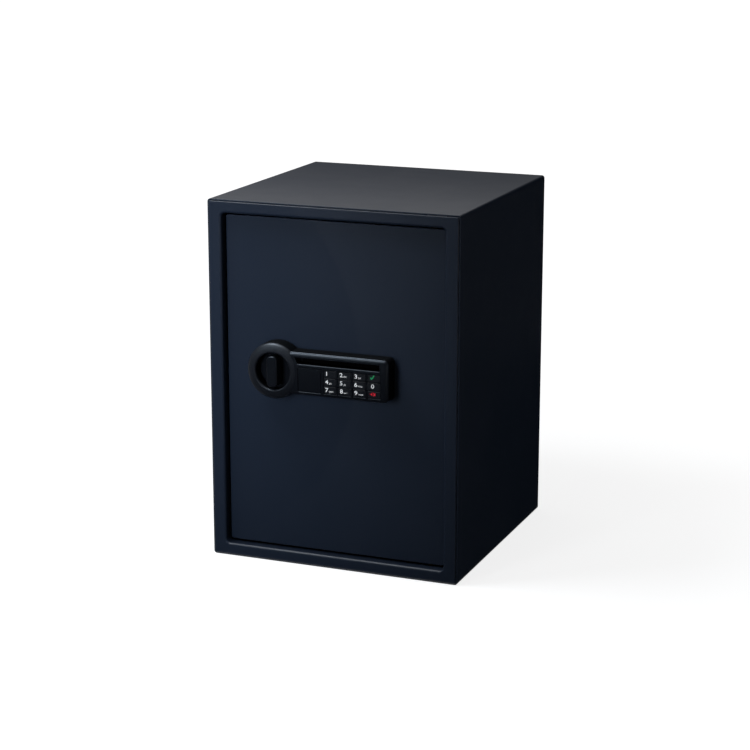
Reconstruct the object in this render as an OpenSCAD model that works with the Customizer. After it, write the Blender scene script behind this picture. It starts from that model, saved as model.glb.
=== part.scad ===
// Personal safe with a recessed door, a thumb-turn knob in a ring, and a keypad bar.
// The shapes are drawn in shop places: x from the left side, y back from the front frame,
// z up from the floor. shop() carries them to the part's own origin.

/* [Body] */
// Width over the outer sides
body_w = 360; // [345:5:420]
// Depth from the front frame to the rear panel
body_d = 360; // [340:5:420]
// Height
body_h = 500; // [480:5:600]
// Thickness of the wrap's sheet steel
wrap_sheet = 2; // [1.5:0.5:3]
// Outer bend radius of the wrap's four long corners
wrap_bend = 4; // [3.5:0.5:6]
// Thickness of the front frame's sheet steel
frame_sheet = 2; // [1.5:0.25:2.5]
// Width of the front frame beside the door
frame_side = 20; // [18:0.5:26]
// Width of the front frame above and below the door
frame_end = 18; // [16:0.5:24]
// Radius of the rolled lip round the door opening
lip_r = 3.5; // [3:0.25:5]
// Corner radius of the door opening
opening_r = 6; // [5:0.5:9]
// Depth of the jamb behind the front frame
jamb_depth = 16; // [15:0.5:16.5]
// Thickness of the rear panel
rear_sheet = 2; // [1.5:0.5:4]
// Radius of each anchor hole
anchor_r = 5; // [4:0.5:6]
// Distance between the two anchor holes in the floor
floor_anchor_gap = 180; // [120:10:240]
// Distance between the two anchor holes in the rear panel
rear_anchor_gap = 180; // [120:10:240]
// Height of the rear anchor holes above the floor
rear_anchor_z = 380; // [300:10:420]

/* [Door] */
// How far the door's face lies behind the front frame
door_recess = 12; // [10:0.5:13]
// Thickness of the door plate
door_sheet = 3; // [2:0.5:5]
// Gap between door and frame at the sides
door_side_gap = 2.5; // [2.3:0.1:4]
// Gap between door and frame at the top and bottom
door_end_gap = 3.5; // [2.5:0.25:5]
// Depth of the door pan behind the door plate
pan_depth = 35; // [34:1:45]
// Thickness of the door pan's sheet steel
pan_sheet = 1.5; // [1:0.25:2]
// How far the pan's walls stand in from the door plate's edges
pan_inset = 1; // [0.5:0.25:2]
// Width of the pan's rear lips
pan_lip = 14; // [12:1:18]
// Thickness of the inner cover
cover_sheet = 1.2; // [0.8:0.1:2]
// Distance of the hinge axis from the door's right edge
hinge_inset = 20; // [19:0.5:21]
// Distance of the hinge axis behind the door's face
hinge_back = 9; // [8.5:0.25:9.5]
// Radius of the hinge pins
hinge_pin_r = 3; // [2.5:0.25:4]
// Radius of the hinge washers
hinge_washer_r = 5.5; // [5:0.25:6.5]
// Thickness of the hinge brackets
bracket_sheet = 3; // [2.5:0.5:4]

/* [Lock panel] */
// Place of the knob's axis from the body's left side
knob_x = 100; // [96:1:104]
// Height of the knob's axis
knob_z = 274; // [260:1:290]
// Radius of the ring round the knob
ring_r = 37.5; // [36.5:0.25:38]
// Radius of the hole in the ring
ring_hole_r = 26; // [25:0.25:27]
// How far the bar's face stands out from the door
panel_depth = 25; // [24:0.5:28]
// How far the ring stands out beyond the bar
ring_rise = 1; // [0.5:0.25:2]
// Length of the bar from the knob's axis to its right end
bar_len = 166; // [165:1:180]
// Height of the bar
bar_h = 58; // [57:0.5:62]
// Corner radius of the bar
bar_corner = 5; // [4:0.5:7]
// Radius of the bar's front edges
bar_edge = 3; // [2:0.25:3.5]
// Wall thickness of the panel
panel_wall = 2.5; // [2:0.25:3]
// Height of the finger slot
slot_h = 8.3; // [7:0.1:9]
// Depth of the finger slot
slot_depth = 14; // [10:0.5:18]
// Distance of the slot's top below the bar's top
slot_drop = 7.2; // [6.5:0.1:8]

/* [Keys] */
// Width of a key
key_w = 18.2; // [16:0.2:18.6]
// Height of a key
key_h = 10.3; // [9:0.1:10.5]
// Distance from one key column to the next
key_pitch_x = 20.9; // [20.6:0.1:21.1]
// Distance from one key row to the next
key_pitch_z = 11.2; // [11:0.1:11.4]
// How far a key stands out of the keypad's floor
key_rise = 0.6; // [0.3:0.1:1.2]
// How far a key travels
key_travel = 0.8; // [0.4:0.1:0.8]
// Side of the plate that hides the emergency lock
plate_w = 32.5; // [31:0.25:32.75]

/* [Knob and bolts] */
// Width of the thumb bar
thumb_w = 15; // [12:0.5:17]
// Height of the thumb bar
thumb_h = 42.5; // [38:0.5:44]
// How far the thumb bar stands out beyond the ring
thumb_rise = 3; // [1:0.5:6]
// Radius of the spindle
spindle_r = 5; // [4:0.25:5.5]
// Distance of the crank's pin from the spindle's axis
crank_r = 12; // [11.5:0.25:12.5]
// Radius of the crank's pin
crank_pin_r = 3; // [2.5:0.25:3]
// How far the knob turns, in degrees
knob_turn = 75; // [70:1:75]
// Radius of the bolts
bolt_r = 9; // [8:0.25:9]
// Distance of each bolt above or below the knob's axis
bolt_gap = 110; // [90:5:140]
// Gap between a thrown bolt and the rear edge of the jamb
bolt_behind_jamb = 1; // [0.5:0.25:1.5]

/* [Inside] */
// Height of the shelf's top above the floor
shelf_z = 250; // [240:5:300]
// Thickness of the shelf's sheet
shelf_sheet = 1.2; // [1:0.1:2]
// Height of the shelf's front and rear folds
shelf_fold = 15; // [10:1:18]
// Thickness of the floor mat
mat_sheet = 2.5; // [1.5:0.5:5]
// Radius of a battery
battery_r = 7.25; // [7:0.05:7.25]
// Length of a battery with its nub
battery_len = 50.5; // [49:0.5:50.5]

/* [Hidden] */
$fn = 64;
past = 1; // how far a cutting shape runs on past what it cuts
fit_gap = 0.02; // press fit, on the radius
run_gap = 0.06; // running fit, on the radius
free_gap = 0.3; // pieces that pass each other
join_in = 0.5; // how far a swept edge reaches into the block that it borders

thumb_front = door_recess - panel_depth - ring_rise - thumb_rise;
front_y = -(body_d + thumb_front) / 2;
module shop() translate([-body_w / 2, front_y, 0]) children();

// Door opening and door plate
opening_x0 = frame_side;
opening_x1 = body_w - frame_side;
opening_z0 = frame_end;
opening_z1 = body_h - frame_end;
door_x0 = opening_x0 + door_side_gap;
door_x1 = opening_x1 - door_side_gap;
door_z0 = opening_z0 + door_end_gap;
door_z1 = opening_z1 - door_end_gap;
door_back = door_recess + door_sheet;
door_corner = opening_r - door_side_gap;
pan_x0 = door_x0 + pan_inset;
pan_x1 = door_x1 - pan_inset;
pan_z0 = door_z0 + pan_inset;
pan_z1 = door_z1 - pan_inset;
pan_back = door_back + pan_depth;
pan_corner = 3;
cover_back = pan_back + cover_sheet;
cover_margin = 2.5;
cover_corner = 5;

// Hinge
hinge_x = door_x1 - hinge_inset;
hinge_y = door_recess + hinge_back;
hinge_boss_w = 2 * (hinge_back - door_sheet);
hinge_boss_h = 6;
hinge_pin_in = 8;
bracket_left = 14;
bracket_right = 12;
bracket_leg_y = 31;

// Lock panel
panel_front = door_recess - panel_depth;
ring_front = panel_front - ring_rise;
bar_x1 = knob_x + bar_len;
bar_z0 = knob_z - bar_h / 2;
bar_z1 = knob_z + bar_h / 2;
ring_round = 5;
ring_lip = 3;
slot_z1 = bar_z1 - slot_drop;
slot_z0 = slot_z1 - slot_h;
slot_wall = 1.5;
slot_end = 12.4;
slot_x1 = bar_x1 - slot_end;
pad_drop = 1;
pad_floor = panel_front + pad_drop;
pad_wall_back = pad_floor + panel_wall;
key_left = 83.1;
pad_low = 7.8;
key_x0 = knob_x + key_left;
pad_z = knob_z - pad_low;
pad_h = 35;
pad_left = 30;
key_clear = 0.3;
pad_x0 = knob_x + pad_left;
pad_x1 = key_x0 + 3.5 * key_pitch_x - key_clear;
key_flange = 0.9;
key_front = pad_floor - key_rise;
key_flange_y = pad_wall_back + free_gap;
key_flange_h = 1.2;
key_corner = 0.8;
key_foot_in = 1;
key_back = key_flange_y + key_flange_h;
mat_front = key_back + key_travel + free_gap;
keypad_mat_sheet = 1.8;
board_sheet = 1.6;
board_y = mat_front + keypad_mat_sheet;
board_left = 10.4;
board_right = 10.2;
board_low = 0.4;
board_x0 = key_x0 - board_left;
board_x1 = key_x0 + 3 * key_pitch_x + board_right;
board_z0 = bar_z0 + panel_wall + board_low;
board_z1 = slot_z0 - slot_wall - free_gap;
mat_in = 1;
rib_h = 1.6;
plate_left = 53.4;
plate_x = knob_x + plate_left;
plate_sheet = 2;
plate_rise = 0.6;
plate_corner = 1;
plate_pad_side = 1.5;
plate_pad_right = 1.2;
plate_pad_end = 2;
plate_front = pad_floor - plate_rise;
plate_back = plate_front + plate_sheet;
plate_pocket = plate_back + free_gap;
plate_pad_back = plate_pocket + panel_wall;
post_r = 3.5;
post_front = -5;
post_tip = 5;
screw_r = 1.9;
screw_head_r = 3.6;
screw_head_h = 2;
post_in_wall = 0.6;
post_low = 7;
post_high = 11;
ring_post = 22.6;
right_post_x = bar_x1 - panel_wall - post_r + post_in_wall;
posts = [
    [right_post_x, bar_z0 + post_low],
    [right_post_x, bar_z1 - post_high],
    [knob_x - ring_post, knob_z + ring_post],
    [knob_x - ring_post, knob_z - ring_post]
];

// Knob and spindle
knob_clear = 0.6;
knob_disc_r = ring_hole_r - knob_clear;
knob_disc_y = 2;
knob_disc_h = 7;
thumb_corner = 6;
thumb_edge = 1.8;
spindle_in = 7.5;
spindle_bore = 8;
bush_r = 7.5;
bush_flange_r = 10;
bush_flange_h = 1.5;
clip_sheet = 1;
clip_w = 3;
clip_y = door_back + bush_flange_h + free_gap;
crank_sheet = 3;
crank_y = clip_y + clip_sheet + free_gap;
crank_hub_r = 9;
crank_arm_r = 5.5;
crank_arm_half = 4.5;
crank_rest = knob_turn / 2;
crank_x = knob_x + crank_r * sin(crank_rest);
crank_z = knob_z + crank_r * cos(crank_rest);
bolt_throw = 2 * crank_r * sin(crank_rest);

// Bolts and bolt bar
bolt_y = jamb_depth + bolt_behind_jamb + bolt_r;
bolt_zs = [knob_z + bolt_gap, knob_z - bolt_gap];
bar_sheet = 3;
bolt_bar_in = 50;
bolt_bar_x = pan_x0 + bolt_bar_in;
bolt_neck_r = 4;
bolt_neck_out = 5;
bolt_chamfer = 1;
bolt_clip_w = 2.5;
bolt_clip_sheet = 1.5;
bolt_bar_end = 14;
bolt_bar_front = bolt_y - 8;
bolt_bar_rear = bolt_y + 12;
crank_pin_out = 2;
tongue_y = bolt_y - bar_sheet / 2;
pin_gap = 0.35;
slot_half = crank_pin_r + pin_gap;
tongue_side = 6;
tongue_top = 8;
tongue_x1 = crank_x + slot_half + tongue_side;
tongue_z0 = crank_z - slot_half - tongue_side;
tongue_z1 = knob_z + crank_r + slot_half + tongue_top;
guide_in = 22;
guide_x = pan_x0 + guide_in;
guide_w = 6;
guide_h = 34;
guide_wall = 4;
guide_back = bolt_y + bolt_r + guide_wall;

// Solenoid above the tongue
plunger_r = 3;
tooth_gap = 0.5;
tooth_w = bolt_throw - 2 * plunger_r - 2 * tooth_gap;
tooth_h = 8;
tooth_overlap = 2;
plunger_travel = 7.5;
plunger_x = tongue_x1 - tooth_w - tooth_gap - plunger_r;
plunger_tip = tongue_z1 + tooth_h + 1;
collar_z = tongue_z1 + tooth_h + plunger_travel + 1;
collar_r = 5.5;
collar_h = 1.5;
spring_h = 7;
spring_r = 5;
sol_z0 = collar_z + collar_h + 2 * free_gap + spring_h;
sol_h = 34;
sol_w = 28;
sol_sheet = 2;
sol_half = 12;
sol_back = bolt_y + sol_half;
coil_r = 11.5;
coil_closed = 4;
plunger_short = 7;
plunger_top = sol_z0 + sol_h - plunger_short;
lifter_w = 6;

// Emergency lock
lock_z = pad_z;
lock_body_r = 9.5;
lock_flange_r = 12.5;
lock_flange_h = 2.5;
lock_face = plate_pocket + 1.2;
lock_back = door_back + 10;
lock_nut_r = 13;
lock_nut_h = 4;
lock_nut_sides = 6;
plug_r = 6.5;
plug_face = lock_face - 0.4;
plug_tail = lock_back + 4;
plug_tail_half = 3;
plug_out = 0.3;
keyway_half_w = 1;
keyway_half_h = 4.2;
keyway_depth = 10;
cam_sheet = 2.5;
cam_y = lock_back + 0.5;
cam_w = 12;
cam_hub_r = 8;
cam_corner = 2;
cam_len = collar_z - plunger_travel - 0.5 - lock_z;

// Battery box and electronics on the inner cover
box_x0 = door_x1 - 137.5;
box_z0 = 165;
box_wall = 2;
battery_pitch = 15.5;
box_in_w = 4 * battery_pitch + 2;
box_in_h = battery_len + 9;
box_w = box_in_w + 2 * box_wall;
box_h = box_in_h + 2 * box_wall;
box_back = cover_back + 1.2;
lid_sheet = 2;
battery_y = box_back - lid_sheet - 0.4 - battery_r;
box_floor = battery_y - battery_r - free_gap;
box_flange = 3;
control_x0 = door_x1 - 75.5;
control_x1 = control_x0 + 50;
control_z0 = 290;
control_z1 = 345;
control_y = pan_back - 10;
chip_w = 14;
chip_h = 2;
chip_x = control_x0 + 12;
chip_z = control_z0 + 14;
standoff_r = 2.5;
standoff_in = 4;
button_x = control_x1 - 12;
button_z = control_z1 - 20;
button_r = 4;
button_travel = 1;
button_gap = 0.1;
button_out = 3;
switch_w = 11;
switch_back = control_y + board_sheet + 6;

// Shelf, rests and mat
rest_w = 12;
rest_len = 20;
rest_h = 5;
shelf_side_gap = 1.5;
shelf_y0 = pan_back + 12;
shelf_y1 = body_d - rear_sheet - 6;
shelf_under = shelf_z - shelf_sheet;
rest_in = 40;
rest_ys = [shelf_y0 + rest_in, shelf_y1 - rest_in];
mat_y0 = bracket_leg_y + bracket_sheet + 6;
mat_side = 3;
mat_hole_wider = 4;
anchor_y = body_d / 2;
floor_anchor_xs = [body_w / 2 - floor_anchor_gap / 2, body_w / 2 + floor_anchor_gap / 2];
rear_anchor_xs = [body_w / 2 - rear_anchor_gap / 2, body_w / 2 + rear_anchor_gap / 2];

steel_black = "#20262f";
steel_grey = "#8d9196";
plastic_black = "#17181c";
zinc = "#a9adb0";
brass = "#b9995a";

// A flat shape standing upright: drawn as x and z, from y0 back to y1.
module upright(y0, y1)
    translate([0, y1, 0]) rotate([90, 0, 0]) linear_extrude(y1 - y0) children();

// A rectangle from (x0, z0) to (x1, z1) with round corners.
module round_rect(x0, z0, x1, z1, r) {
    if (r > 0) {
        translate([x0 + r, z0]) square([x1 - x0 - 2 * r, z1 - z0]);
        translate([x0, z0 + r]) square([x1 - x0, z1 - z0 - 2 * r]);
        for (x = [x0 + r, x1 - r], z = [z0 + r, z1 - r]) translate([x, z]) circle(r);
    } else {
        translate([x0, z0]) square([x1 - x0, z1 - z0]);
    }
}

// A round bar along y, from y0 back to y1.
module rod_y(x, z, r, y0, y1)
    translate([x, y1, z]) rotate([90, 0, 0]) cylinder(r = r, h = y1 - y0);

// A round bar along x, from x0 to x1.
module rod_x(y, z, r, x0, x1)
    translate([x0, y, z]) rotate([0, 90, 0]) cylinder(r = r, h = x1 - x0);

// A box between two corners.
module block(p, q) translate(p) cube(q - p);

// Carries a flat profile round a rectangle with corner radius r. In the profile, x runs
// outward from the rectangle's edge and y runs back from the front.
module carry_round(x0, z0, x1, z1, r) {
    for (side = [0, 1]) {
        mx = (x0 + x1) / 2;
        mz = (z0 + z1) / 2;
        translate([mx, 0, mz]) rotate([0, 180 * side, 0]) {
            translate([(x1 - x0) / 2, 0, -((z1 - z0) / 2 - r)])
                linear_extrude(z1 - z0 - 2 * r) children();
            translate([-((x1 - x0) / 2 - r), 0, (z1 - z0) / 2])
                rotate([0, 90, 0]) linear_extrude(x1 - x0 - 2 * r) mirror([1, 0]) children();
            for (corner = [0, 1])
                translate([(x1 - x0) / 2 - r, 0, (corner ? -1 : 1) * ((z1 - z0) / 2 - r)])
                    rotate([-90, corner ? 0 : -90, 0])
                        rotate_extrude(angle = 90) translate([r, 0]) children();
        }
    }
}

// Body
module body_wrap() color(steel_black) shop() difference() {
    upright(frame_sheet, body_d) difference() {
        round_rect(0, 0, body_w, body_h, wrap_bend);
        round_rect(wrap_sheet, wrap_sheet, body_w - wrap_sheet, body_h - wrap_sheet, wrap_bend - wrap_sheet);
    }
    for (x = floor_anchor_xs) translate([x, anchor_y, -1]) cylinder(r = anchor_r, h = wrap_sheet + 2);
}

// The lip turns from the face to the jamb as a quarter of a round.
module lip_profile() {
    translate([0, lip_r]) square([frame_sheet, jamb_depth - lip_r]);
    translate([lip_r, 0]) square([join_in, frame_sheet]);
    intersection() {
        translate([lip_r, lip_r]) difference() {
            circle(lip_r);
            circle(lip_r - frame_sheet);
        }
        square(lip_r);
    }
}

module front_frame() color(steel_black) shop() {
    upright(0, frame_sheet) difference() {
        round_rect(0, 0, body_w, body_h, wrap_bend);
        round_rect(opening_x0 - lip_r, opening_z0 - lip_r, opening_x1 + lip_r, opening_z1 + lip_r,
            opening_r + lip_r);
    }
    carry_round(opening_x0, opening_z0, opening_x1, opening_z1, opening_r) lip_profile();
}

module rear_panel() color(steel_black) shop() upright(body_d - rear_sheet, body_d) difference() {
    round_rect(wrap_sheet, wrap_sheet, body_w - wrap_sheet, body_h - wrap_sheet, wrap_bend - wrap_sheet);
    for (x = rear_anchor_xs) translate([x, rear_anchor_z]) circle(anchor_r);
}

// A bracket holds a hinge pin behind the jamb. z0 is its face towards the door, and up is 1 or -1.
module hinge_bracket(face_z, wall_z, up) {
    x0 = hinge_x - bracket_left;
    x1 = hinge_x + bracket_right;
    y1 = bracket_leg_y + bracket_sheet;
    tip_z = face_z + up * bracket_sheet;
    difference() {
        block([x0, jamb_depth, min(face_z, tip_z)], [x1, y1, max(face_z, tip_z)]);
        translate([hinge_x, hinge_y, min(face_z, tip_z) - 1])
            cylinder(r = hinge_pin_r + fit_gap, h = bracket_sheet + 2);
    }
    block([x0, bracket_leg_y, min(tip_z, wall_z)], [x1, y1, max(tip_z, wall_z)]);
}

module upper_hinge_bracket() color(steel_grey) shop() hinge_bracket(opening_z1, body_h - wrap_sheet, 1);

module lower_hinge_bracket() color(steel_grey) shop() hinge_bracket(opening_z0, wrap_sheet, -1);

module hinge_pins() color(zinc) shop() {
    translate([hinge_x, hinge_y, pan_z1 - hinge_pin_in])
        cylinder(r = hinge_pin_r, h = opening_z1 + bracket_sheet - pan_z1 + hinge_pin_in);
    translate([hinge_x, hinge_y, opening_z0 - bracket_sheet])
        cylinder(r = hinge_pin_r, h = pan_z0 + hinge_pin_in - opening_z0 + bracket_sheet);
}

module hinge_washer(z0, z1) translate([hinge_x, hinge_y, z0]) difference() {
    cylinder(r = hinge_washer_r, h = z1 - z0);
    translate([0, 0, -1]) cylinder(r = hinge_pin_r + fit_gap, h = z1 - z0 + 2);
}

module hinge_washers() color(brass) shop() {
    hinge_washer(pan_z1 + free_gap, opening_z1);
    hinge_washer(opening_z0, pan_z0 - free_gap);
}

module shelf_rests() color(steel_black) shop()
    for (y = rest_ys) {
        block([wrap_sheet, y - rest_len / 2, shelf_under - rest_h],
            [wrap_sheet + rest_w, y + rest_len / 2, shelf_under]);
        block([body_w - wrap_sheet - rest_w, y - rest_len / 2, shelf_under - rest_h],
            [body_w - wrap_sheet, y + rest_len / 2, shelf_under]);
    }

module shelf() color(steel_black) shop() {
    x0 = wrap_sheet + shelf_side_gap;
    x1 = body_w - x0;
    block([x0, shelf_y0, shelf_under], [x1, shelf_y1, shelf_z]);
    block([x0, shelf_y0, shelf_under - shelf_fold], [x1, shelf_y0 + shelf_sheet, shelf_under]);
    block([x0, shelf_y1 - shelf_sheet, shelf_under - shelf_fold], [x1, shelf_y1, shelf_under]);
}

module floor_mat() color("#2c2d30") shop() difference() {
    block([wrap_sheet + mat_side, mat_y0, wrap_sheet],
        [body_w - wrap_sheet - mat_side, body_d - rear_sheet - mat_side, wrap_sheet + mat_sheet]);
    for (x = floor_anchor_xs)
        translate([x, anchor_y, 0]) cylinder(r = anchor_r + mat_hole_wider, h = wrap_sheet + mat_sheet + past);
}

// Door
cable_x = key_x0 + 1.5 * key_pitch_x;
cable_z = pad_z;
cable_r = 2;
cable_hole_r = 5;

module door_plate() color(steel_black) shop() difference() {
    upright(door_recess, door_back) round_rect(door_x0, door_z0, door_x1, door_z1, door_corner);
    rod_y(knob_x, knob_z, bush_r + fit_gap, door_recess - 1, door_back + 1);
    rod_y(plate_x, lock_z, lock_body_r + free_gap, door_recess - 1, door_back + 1);
    rod_y(cable_x, cable_z, cable_hole_r, door_recess - 1, door_back + 1);
    for (p = posts) rod_y(p[0], p[1], screw_r + free_gap, door_recess - 1, door_back + 1);
}

// Screws of the inner cover: three up each side.
cover_screw_in = pan_lip / 2 + 1;
cover_screws_at = [for (x = [pan_x0 + cover_screw_in, pan_x1 - cover_screw_in],
    z = [pan_z0 + 30, (pan_z0 + pan_z1) / 2, pan_z1 - 30]) [x, z]];

module door_pan() color(steel_black) shop() difference() {
    union() {
        upright(door_back, pan_back) difference() {
            round_rect(pan_x0, pan_z0, pan_x1, pan_z1, pan_corner);
            round_rect(pan_x0 + pan_sheet, pan_z0 + pan_sheet, pan_x1 - pan_sheet, pan_z1 - pan_sheet,
                pan_corner - pan_sheet);
        }
        upright(pan_back - pan_sheet, pan_back) difference() {
            round_rect(pan_x0, pan_z0, pan_x1, pan_z1, pan_corner);
            round_rect(pan_x0 + pan_lip, pan_z0 + pan_lip, pan_x1 - pan_lip, pan_z1 - pan_lip, pan_corner);
        }
        for (z = [pan_z1 - pan_sheet - hinge_boss_h, pan_z0 + pan_sheet])
            block([hinge_x - hinge_boss_w / 2, door_back, z],
                [hinge_x + hinge_boss_w / 2, door_back + hinge_boss_w, z + hinge_boss_h]);
    }
    for (z = [pan_z1 - hinge_pin_in - 1, pan_z0 - 1])
        translate([hinge_x, hinge_y, z]) cylinder(r = hinge_pin_r + run_gap, h = hinge_pin_in + 2);
    for (z = bolt_zs) rod_x(bolt_y, z, bolt_r + free_gap, pan_x0 - 1, pan_x0 + pan_sheet + 1);
    for (p = cover_screws_at) rod_y(p[0], p[1], screw_r + fit_gap, pan_back - pan_sheet - 1, pan_back + 1);
}

module inner_cover() color(steel_black) shop() difference() {
    upright(pan_back, cover_back) difference() {
        round_rect(pan_x0 + cover_margin, pan_z0 + cover_margin, pan_x1 - cover_margin, pan_z1 - cover_margin,
            cover_corner);
        round_rect(box_x0 - fit_gap, box_z0 - fit_gap, box_x0 + box_w + fit_gap, box_z0 + box_h + fit_gap, 0);
    }
    for (p = cover_screws_at) rod_y(p[0], p[1], screw_r + 0.2, pan_back - 1, cover_back + 1);
    rod_y(button_x, button_z, button_r + 0.35, pan_back - 1, cover_back + 1);
}

module cover_screws() color(zinc) shop()
    for (p = cover_screws_at) {
        rod_y(p[0], p[1], screw_r, pan_back - 5, cover_back);
        rod_y(p[0], p[1], screw_head_r, cover_back, cover_back + screw_head_h);
    }

// Lock panel
module bar_edge_profile() {
    translate([-bar_edge, 0]) intersection() {
        translate([0, bar_edge]) circle(bar_edge);
        square([bar_edge, bar_edge]);
    }
    translate([-bar_edge, bar_edge]) square([bar_edge, panel_depth - bar_edge]);
    translate([-bar_edge - join_in, 0]) square([join_in, panel_depth]);
}

module ring_profile() {
    top = door_recess - ring_front;
    translate([ring_hole_r, 0]) square([ring_r - ring_hole_r, top - ring_round]);
    translate([ring_hole_r + ring_lip, 0]) square([ring_r - ring_round - ring_hole_r - ring_lip, top]);
    translate([ring_hole_r, 0]) square([ring_lip, top - ring_lip]);
    intersection() {
        translate([ring_r - ring_round, top - ring_round]) circle(ring_round);
        translate([ring_r - ring_round, top - ring_round]) square(ring_round);
    }
    intersection() {
        translate([ring_hole_r + ring_lip, top - ring_lip]) circle(ring_lip);
        translate([ring_hole_r, top - ring_lip]) square(ring_lip);
    }
}

module bar_shape() {
    upright(panel_front, door_recess)
        round_rect(knob_x, bar_z0 + bar_edge, bar_x1 - bar_edge, bar_z1 - bar_edge, bar_corner - bar_edge);
    translate([0, panel_front, 0]) carry_round(knob_x, bar_z0, bar_x1, bar_z1, bar_corner) bar_edge_profile();
}

module bar_hollow()
    upright(pad_wall_back, door_recess + 1)
        round_rect(knob_x, bar_z0 + panel_wall, bar_x1 - panel_wall, bar_z1 - panel_wall,
            bar_corner - panel_wall);

module finger_slot(grow)
    block([knob_x + ring_hole_r, panel_front - 1, slot_z0 - grow],
        [slot_x1 + grow, panel_front + slot_depth + grow, slot_z1 + grow]);

// The ring's whole disc, used to keep the bar's cuts out of it.
module ring_disc() rod_y(knob_x, knob_z, ring_r - 0.01, ring_front - 1, door_recess + 2);

module lock_panel() color(plastic_black) shop() difference() {
    union() {
        difference() {
            bar_shape();
            bar_hollow();
            ring_disc();
            block([pad_x0, panel_front - 1, pad_z - pad_h / 2], [pad_x1, pad_floor, pad_z + pad_h / 2]);
            finger_slot(0);
        }
        difference() {
            finger_slot(slot_wall);
            finger_slot(0);
            ring_disc();
            block([knob_x, panel_front - 2, bar_z0], [bar_x1, pad_wall_back - 1, bar_z1]);
        }
        difference() {
            block([plate_x - plate_w / 2 - plate_pad_side, pad_wall_back - 1, pad_z - plate_w / 2 - plate_pad_end],
                [plate_x + plate_w / 2 + plate_pad_right, plate_pad_back, pad_z + plate_w / 2 + plate_pad_end]);
            ring_disc();
        }
        for (z = [board_z0, board_z1 - rib_h])
            block([board_x0 + mat_in, pad_wall_back - 1, z - (z == board_z0 ? 1 : 0)],
                [board_x1 - mat_in, board_y, z + rib_h + (z == board_z0 ? 0 : 1)]);
        difference() {
            translate([knob_x, door_recess, knob_z])
                rotate([90, 0, 0]) rotate_extrude($fn = 96) ring_profile();
            translate([knob_x, door_recess + 1, knob_z]) rotate([90, 0, 0]) difference() {
                cylinder(r = ring_r - panel_wall, h = panel_depth - ring_round + 1);
                translate([0, 0, -1]) cylinder(r = ring_hole_r + panel_wall, h = panel_depth + 2);
            }
        }
        for (p = posts) rod_y(p[0], p[1], post_r, post_front - post_tip, door_recess);
    }
    for (p = posts) rod_y(p[0], p[1], screw_r + fit_gap, post_front, door_recess + 1);
    block([plate_x - plate_w / 2 - free_gap, panel_front - 1, pad_z - plate_w / 2 - free_gap],
        [plate_x + plate_w / 2 + free_gap, plate_pocket, pad_z + plate_w / 2 + free_gap]);
    rod_y(plate_x, lock_z, lock_body_r + free_gap, panel_front - 1, door_recess + 1);
    for (column = [0 : 3])
        block([key_x0 + column * key_pitch_x - key_w / 2 - key_clear, panel_front - past,
                pad_z - key_pitch_z - key_h / 2 - key_clear],
            [key_x0 + column * key_pitch_x + key_w / 2 + key_clear, pad_wall_back + past,
                pad_z + key_pitch_z + key_h / 2 + key_clear]);
}

module panel_screws() color(zinc) shop()
    for (p = posts) {
        rod_y(p[0], p[1], screw_r, post_front + 1, door_back);
        rod_y(p[0], p[1], screw_head_r, door_back, door_back + screw_head_h);
    }

module cover_plate() color(plastic_black) shop()
    upright(plate_front, plate_back) round_rect(plate_x - plate_w / 2, pad_z - plate_w / 2,
        plate_x + plate_w / 2, pad_z + plate_w / 2, plate_corner);

module keypad_mat() color("#6d7176") shop()
    block([board_x0 + mat_in, mat_front, board_z0 + rib_h + free_gap],
        [board_x1 - mat_in, board_y, board_z1 - rib_h - free_gap]);

module keypad_board() color("#2f6b45") shop()
    block([board_x0, board_y, board_z0], [board_x1, board_y + board_sheet, board_z1]);

// A key: its cap and the wider foot that keeps it behind the panel's wall.
module key(column, row) color("#1e2024") shop() {
    x = key_x0 + column * key_pitch_x;
    z = pad_z + (1 - row) * key_pitch_z;
    upright(key_front, key_back)
        round_rect(x - key_w / 2, z - key_h / 2, x + key_w / 2, z + key_h / 2, key_corner);
    block([x - key_w / 2 - key_flange, key_flange_y, z - key_h / 2 + key_foot_in],
        [x + key_w / 2 + key_flange, key_back, z + key_h / 2 - key_foot_in]);
}

// Emergency lock
module emergency_lock_body() color(zinc) shop() difference() {
    union() {
        rod_y(plate_x, lock_z, lock_body_r, lock_face, lock_back);
        rod_y(plate_x, lock_z, lock_flange_r, door_recess - lock_flange_h, door_recess);
    }
    rod_y(plate_x, lock_z, plug_r + run_gap, lock_face - 1, lock_back + 1);
}

module emergency_lock_nut() color(zinc) shop() difference() {
    translate([plate_x, door_back + lock_nut_h, lock_z])
        rotate([90, 0, 0]) cylinder(r = lock_nut_r, h = lock_nut_h, $fn = lock_nut_sides);
    rod_y(plate_x, lock_z, lock_body_r + fit_gap, door_back - 1, door_back + lock_nut_h + 1);
}

module emergency_plug() color(brass) shop() difference() {
    union() {
        rod_y(plate_x, lock_z, plug_r, plug_face, lock_back + plug_out);
        block([plate_x - plug_tail_half, lock_back, lock_z - plug_tail_half],
            [plate_x + plug_tail_half, plug_tail, lock_z + plug_tail_half]);
    }
    block([plate_x - keyway_half_w, plug_face - past, lock_z - keyway_half_h],
        [plate_x + keyway_half_w, plug_face + keyway_depth, lock_z + keyway_half_h]);
}

module emergency_cam() color(zinc) shop() difference() {
    union() {
        rod_y(plate_x, lock_z, cam_hub_r, cam_y, cam_y + cam_sheet);
        upright(cam_y, cam_y + cam_sheet)
            round_rect(plate_x, lock_z - cam_w / 2, plate_x + cam_len, lock_z + cam_w / 2, cam_corner);
    }
    block([plate_x - plug_tail_half - fit_gap, cam_y - past, lock_z - plug_tail_half - fit_gap],
        [plate_x + plug_tail_half + fit_gap, cam_y + cam_sheet + past, lock_z + plug_tail_half + fit_gap]);
}

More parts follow.
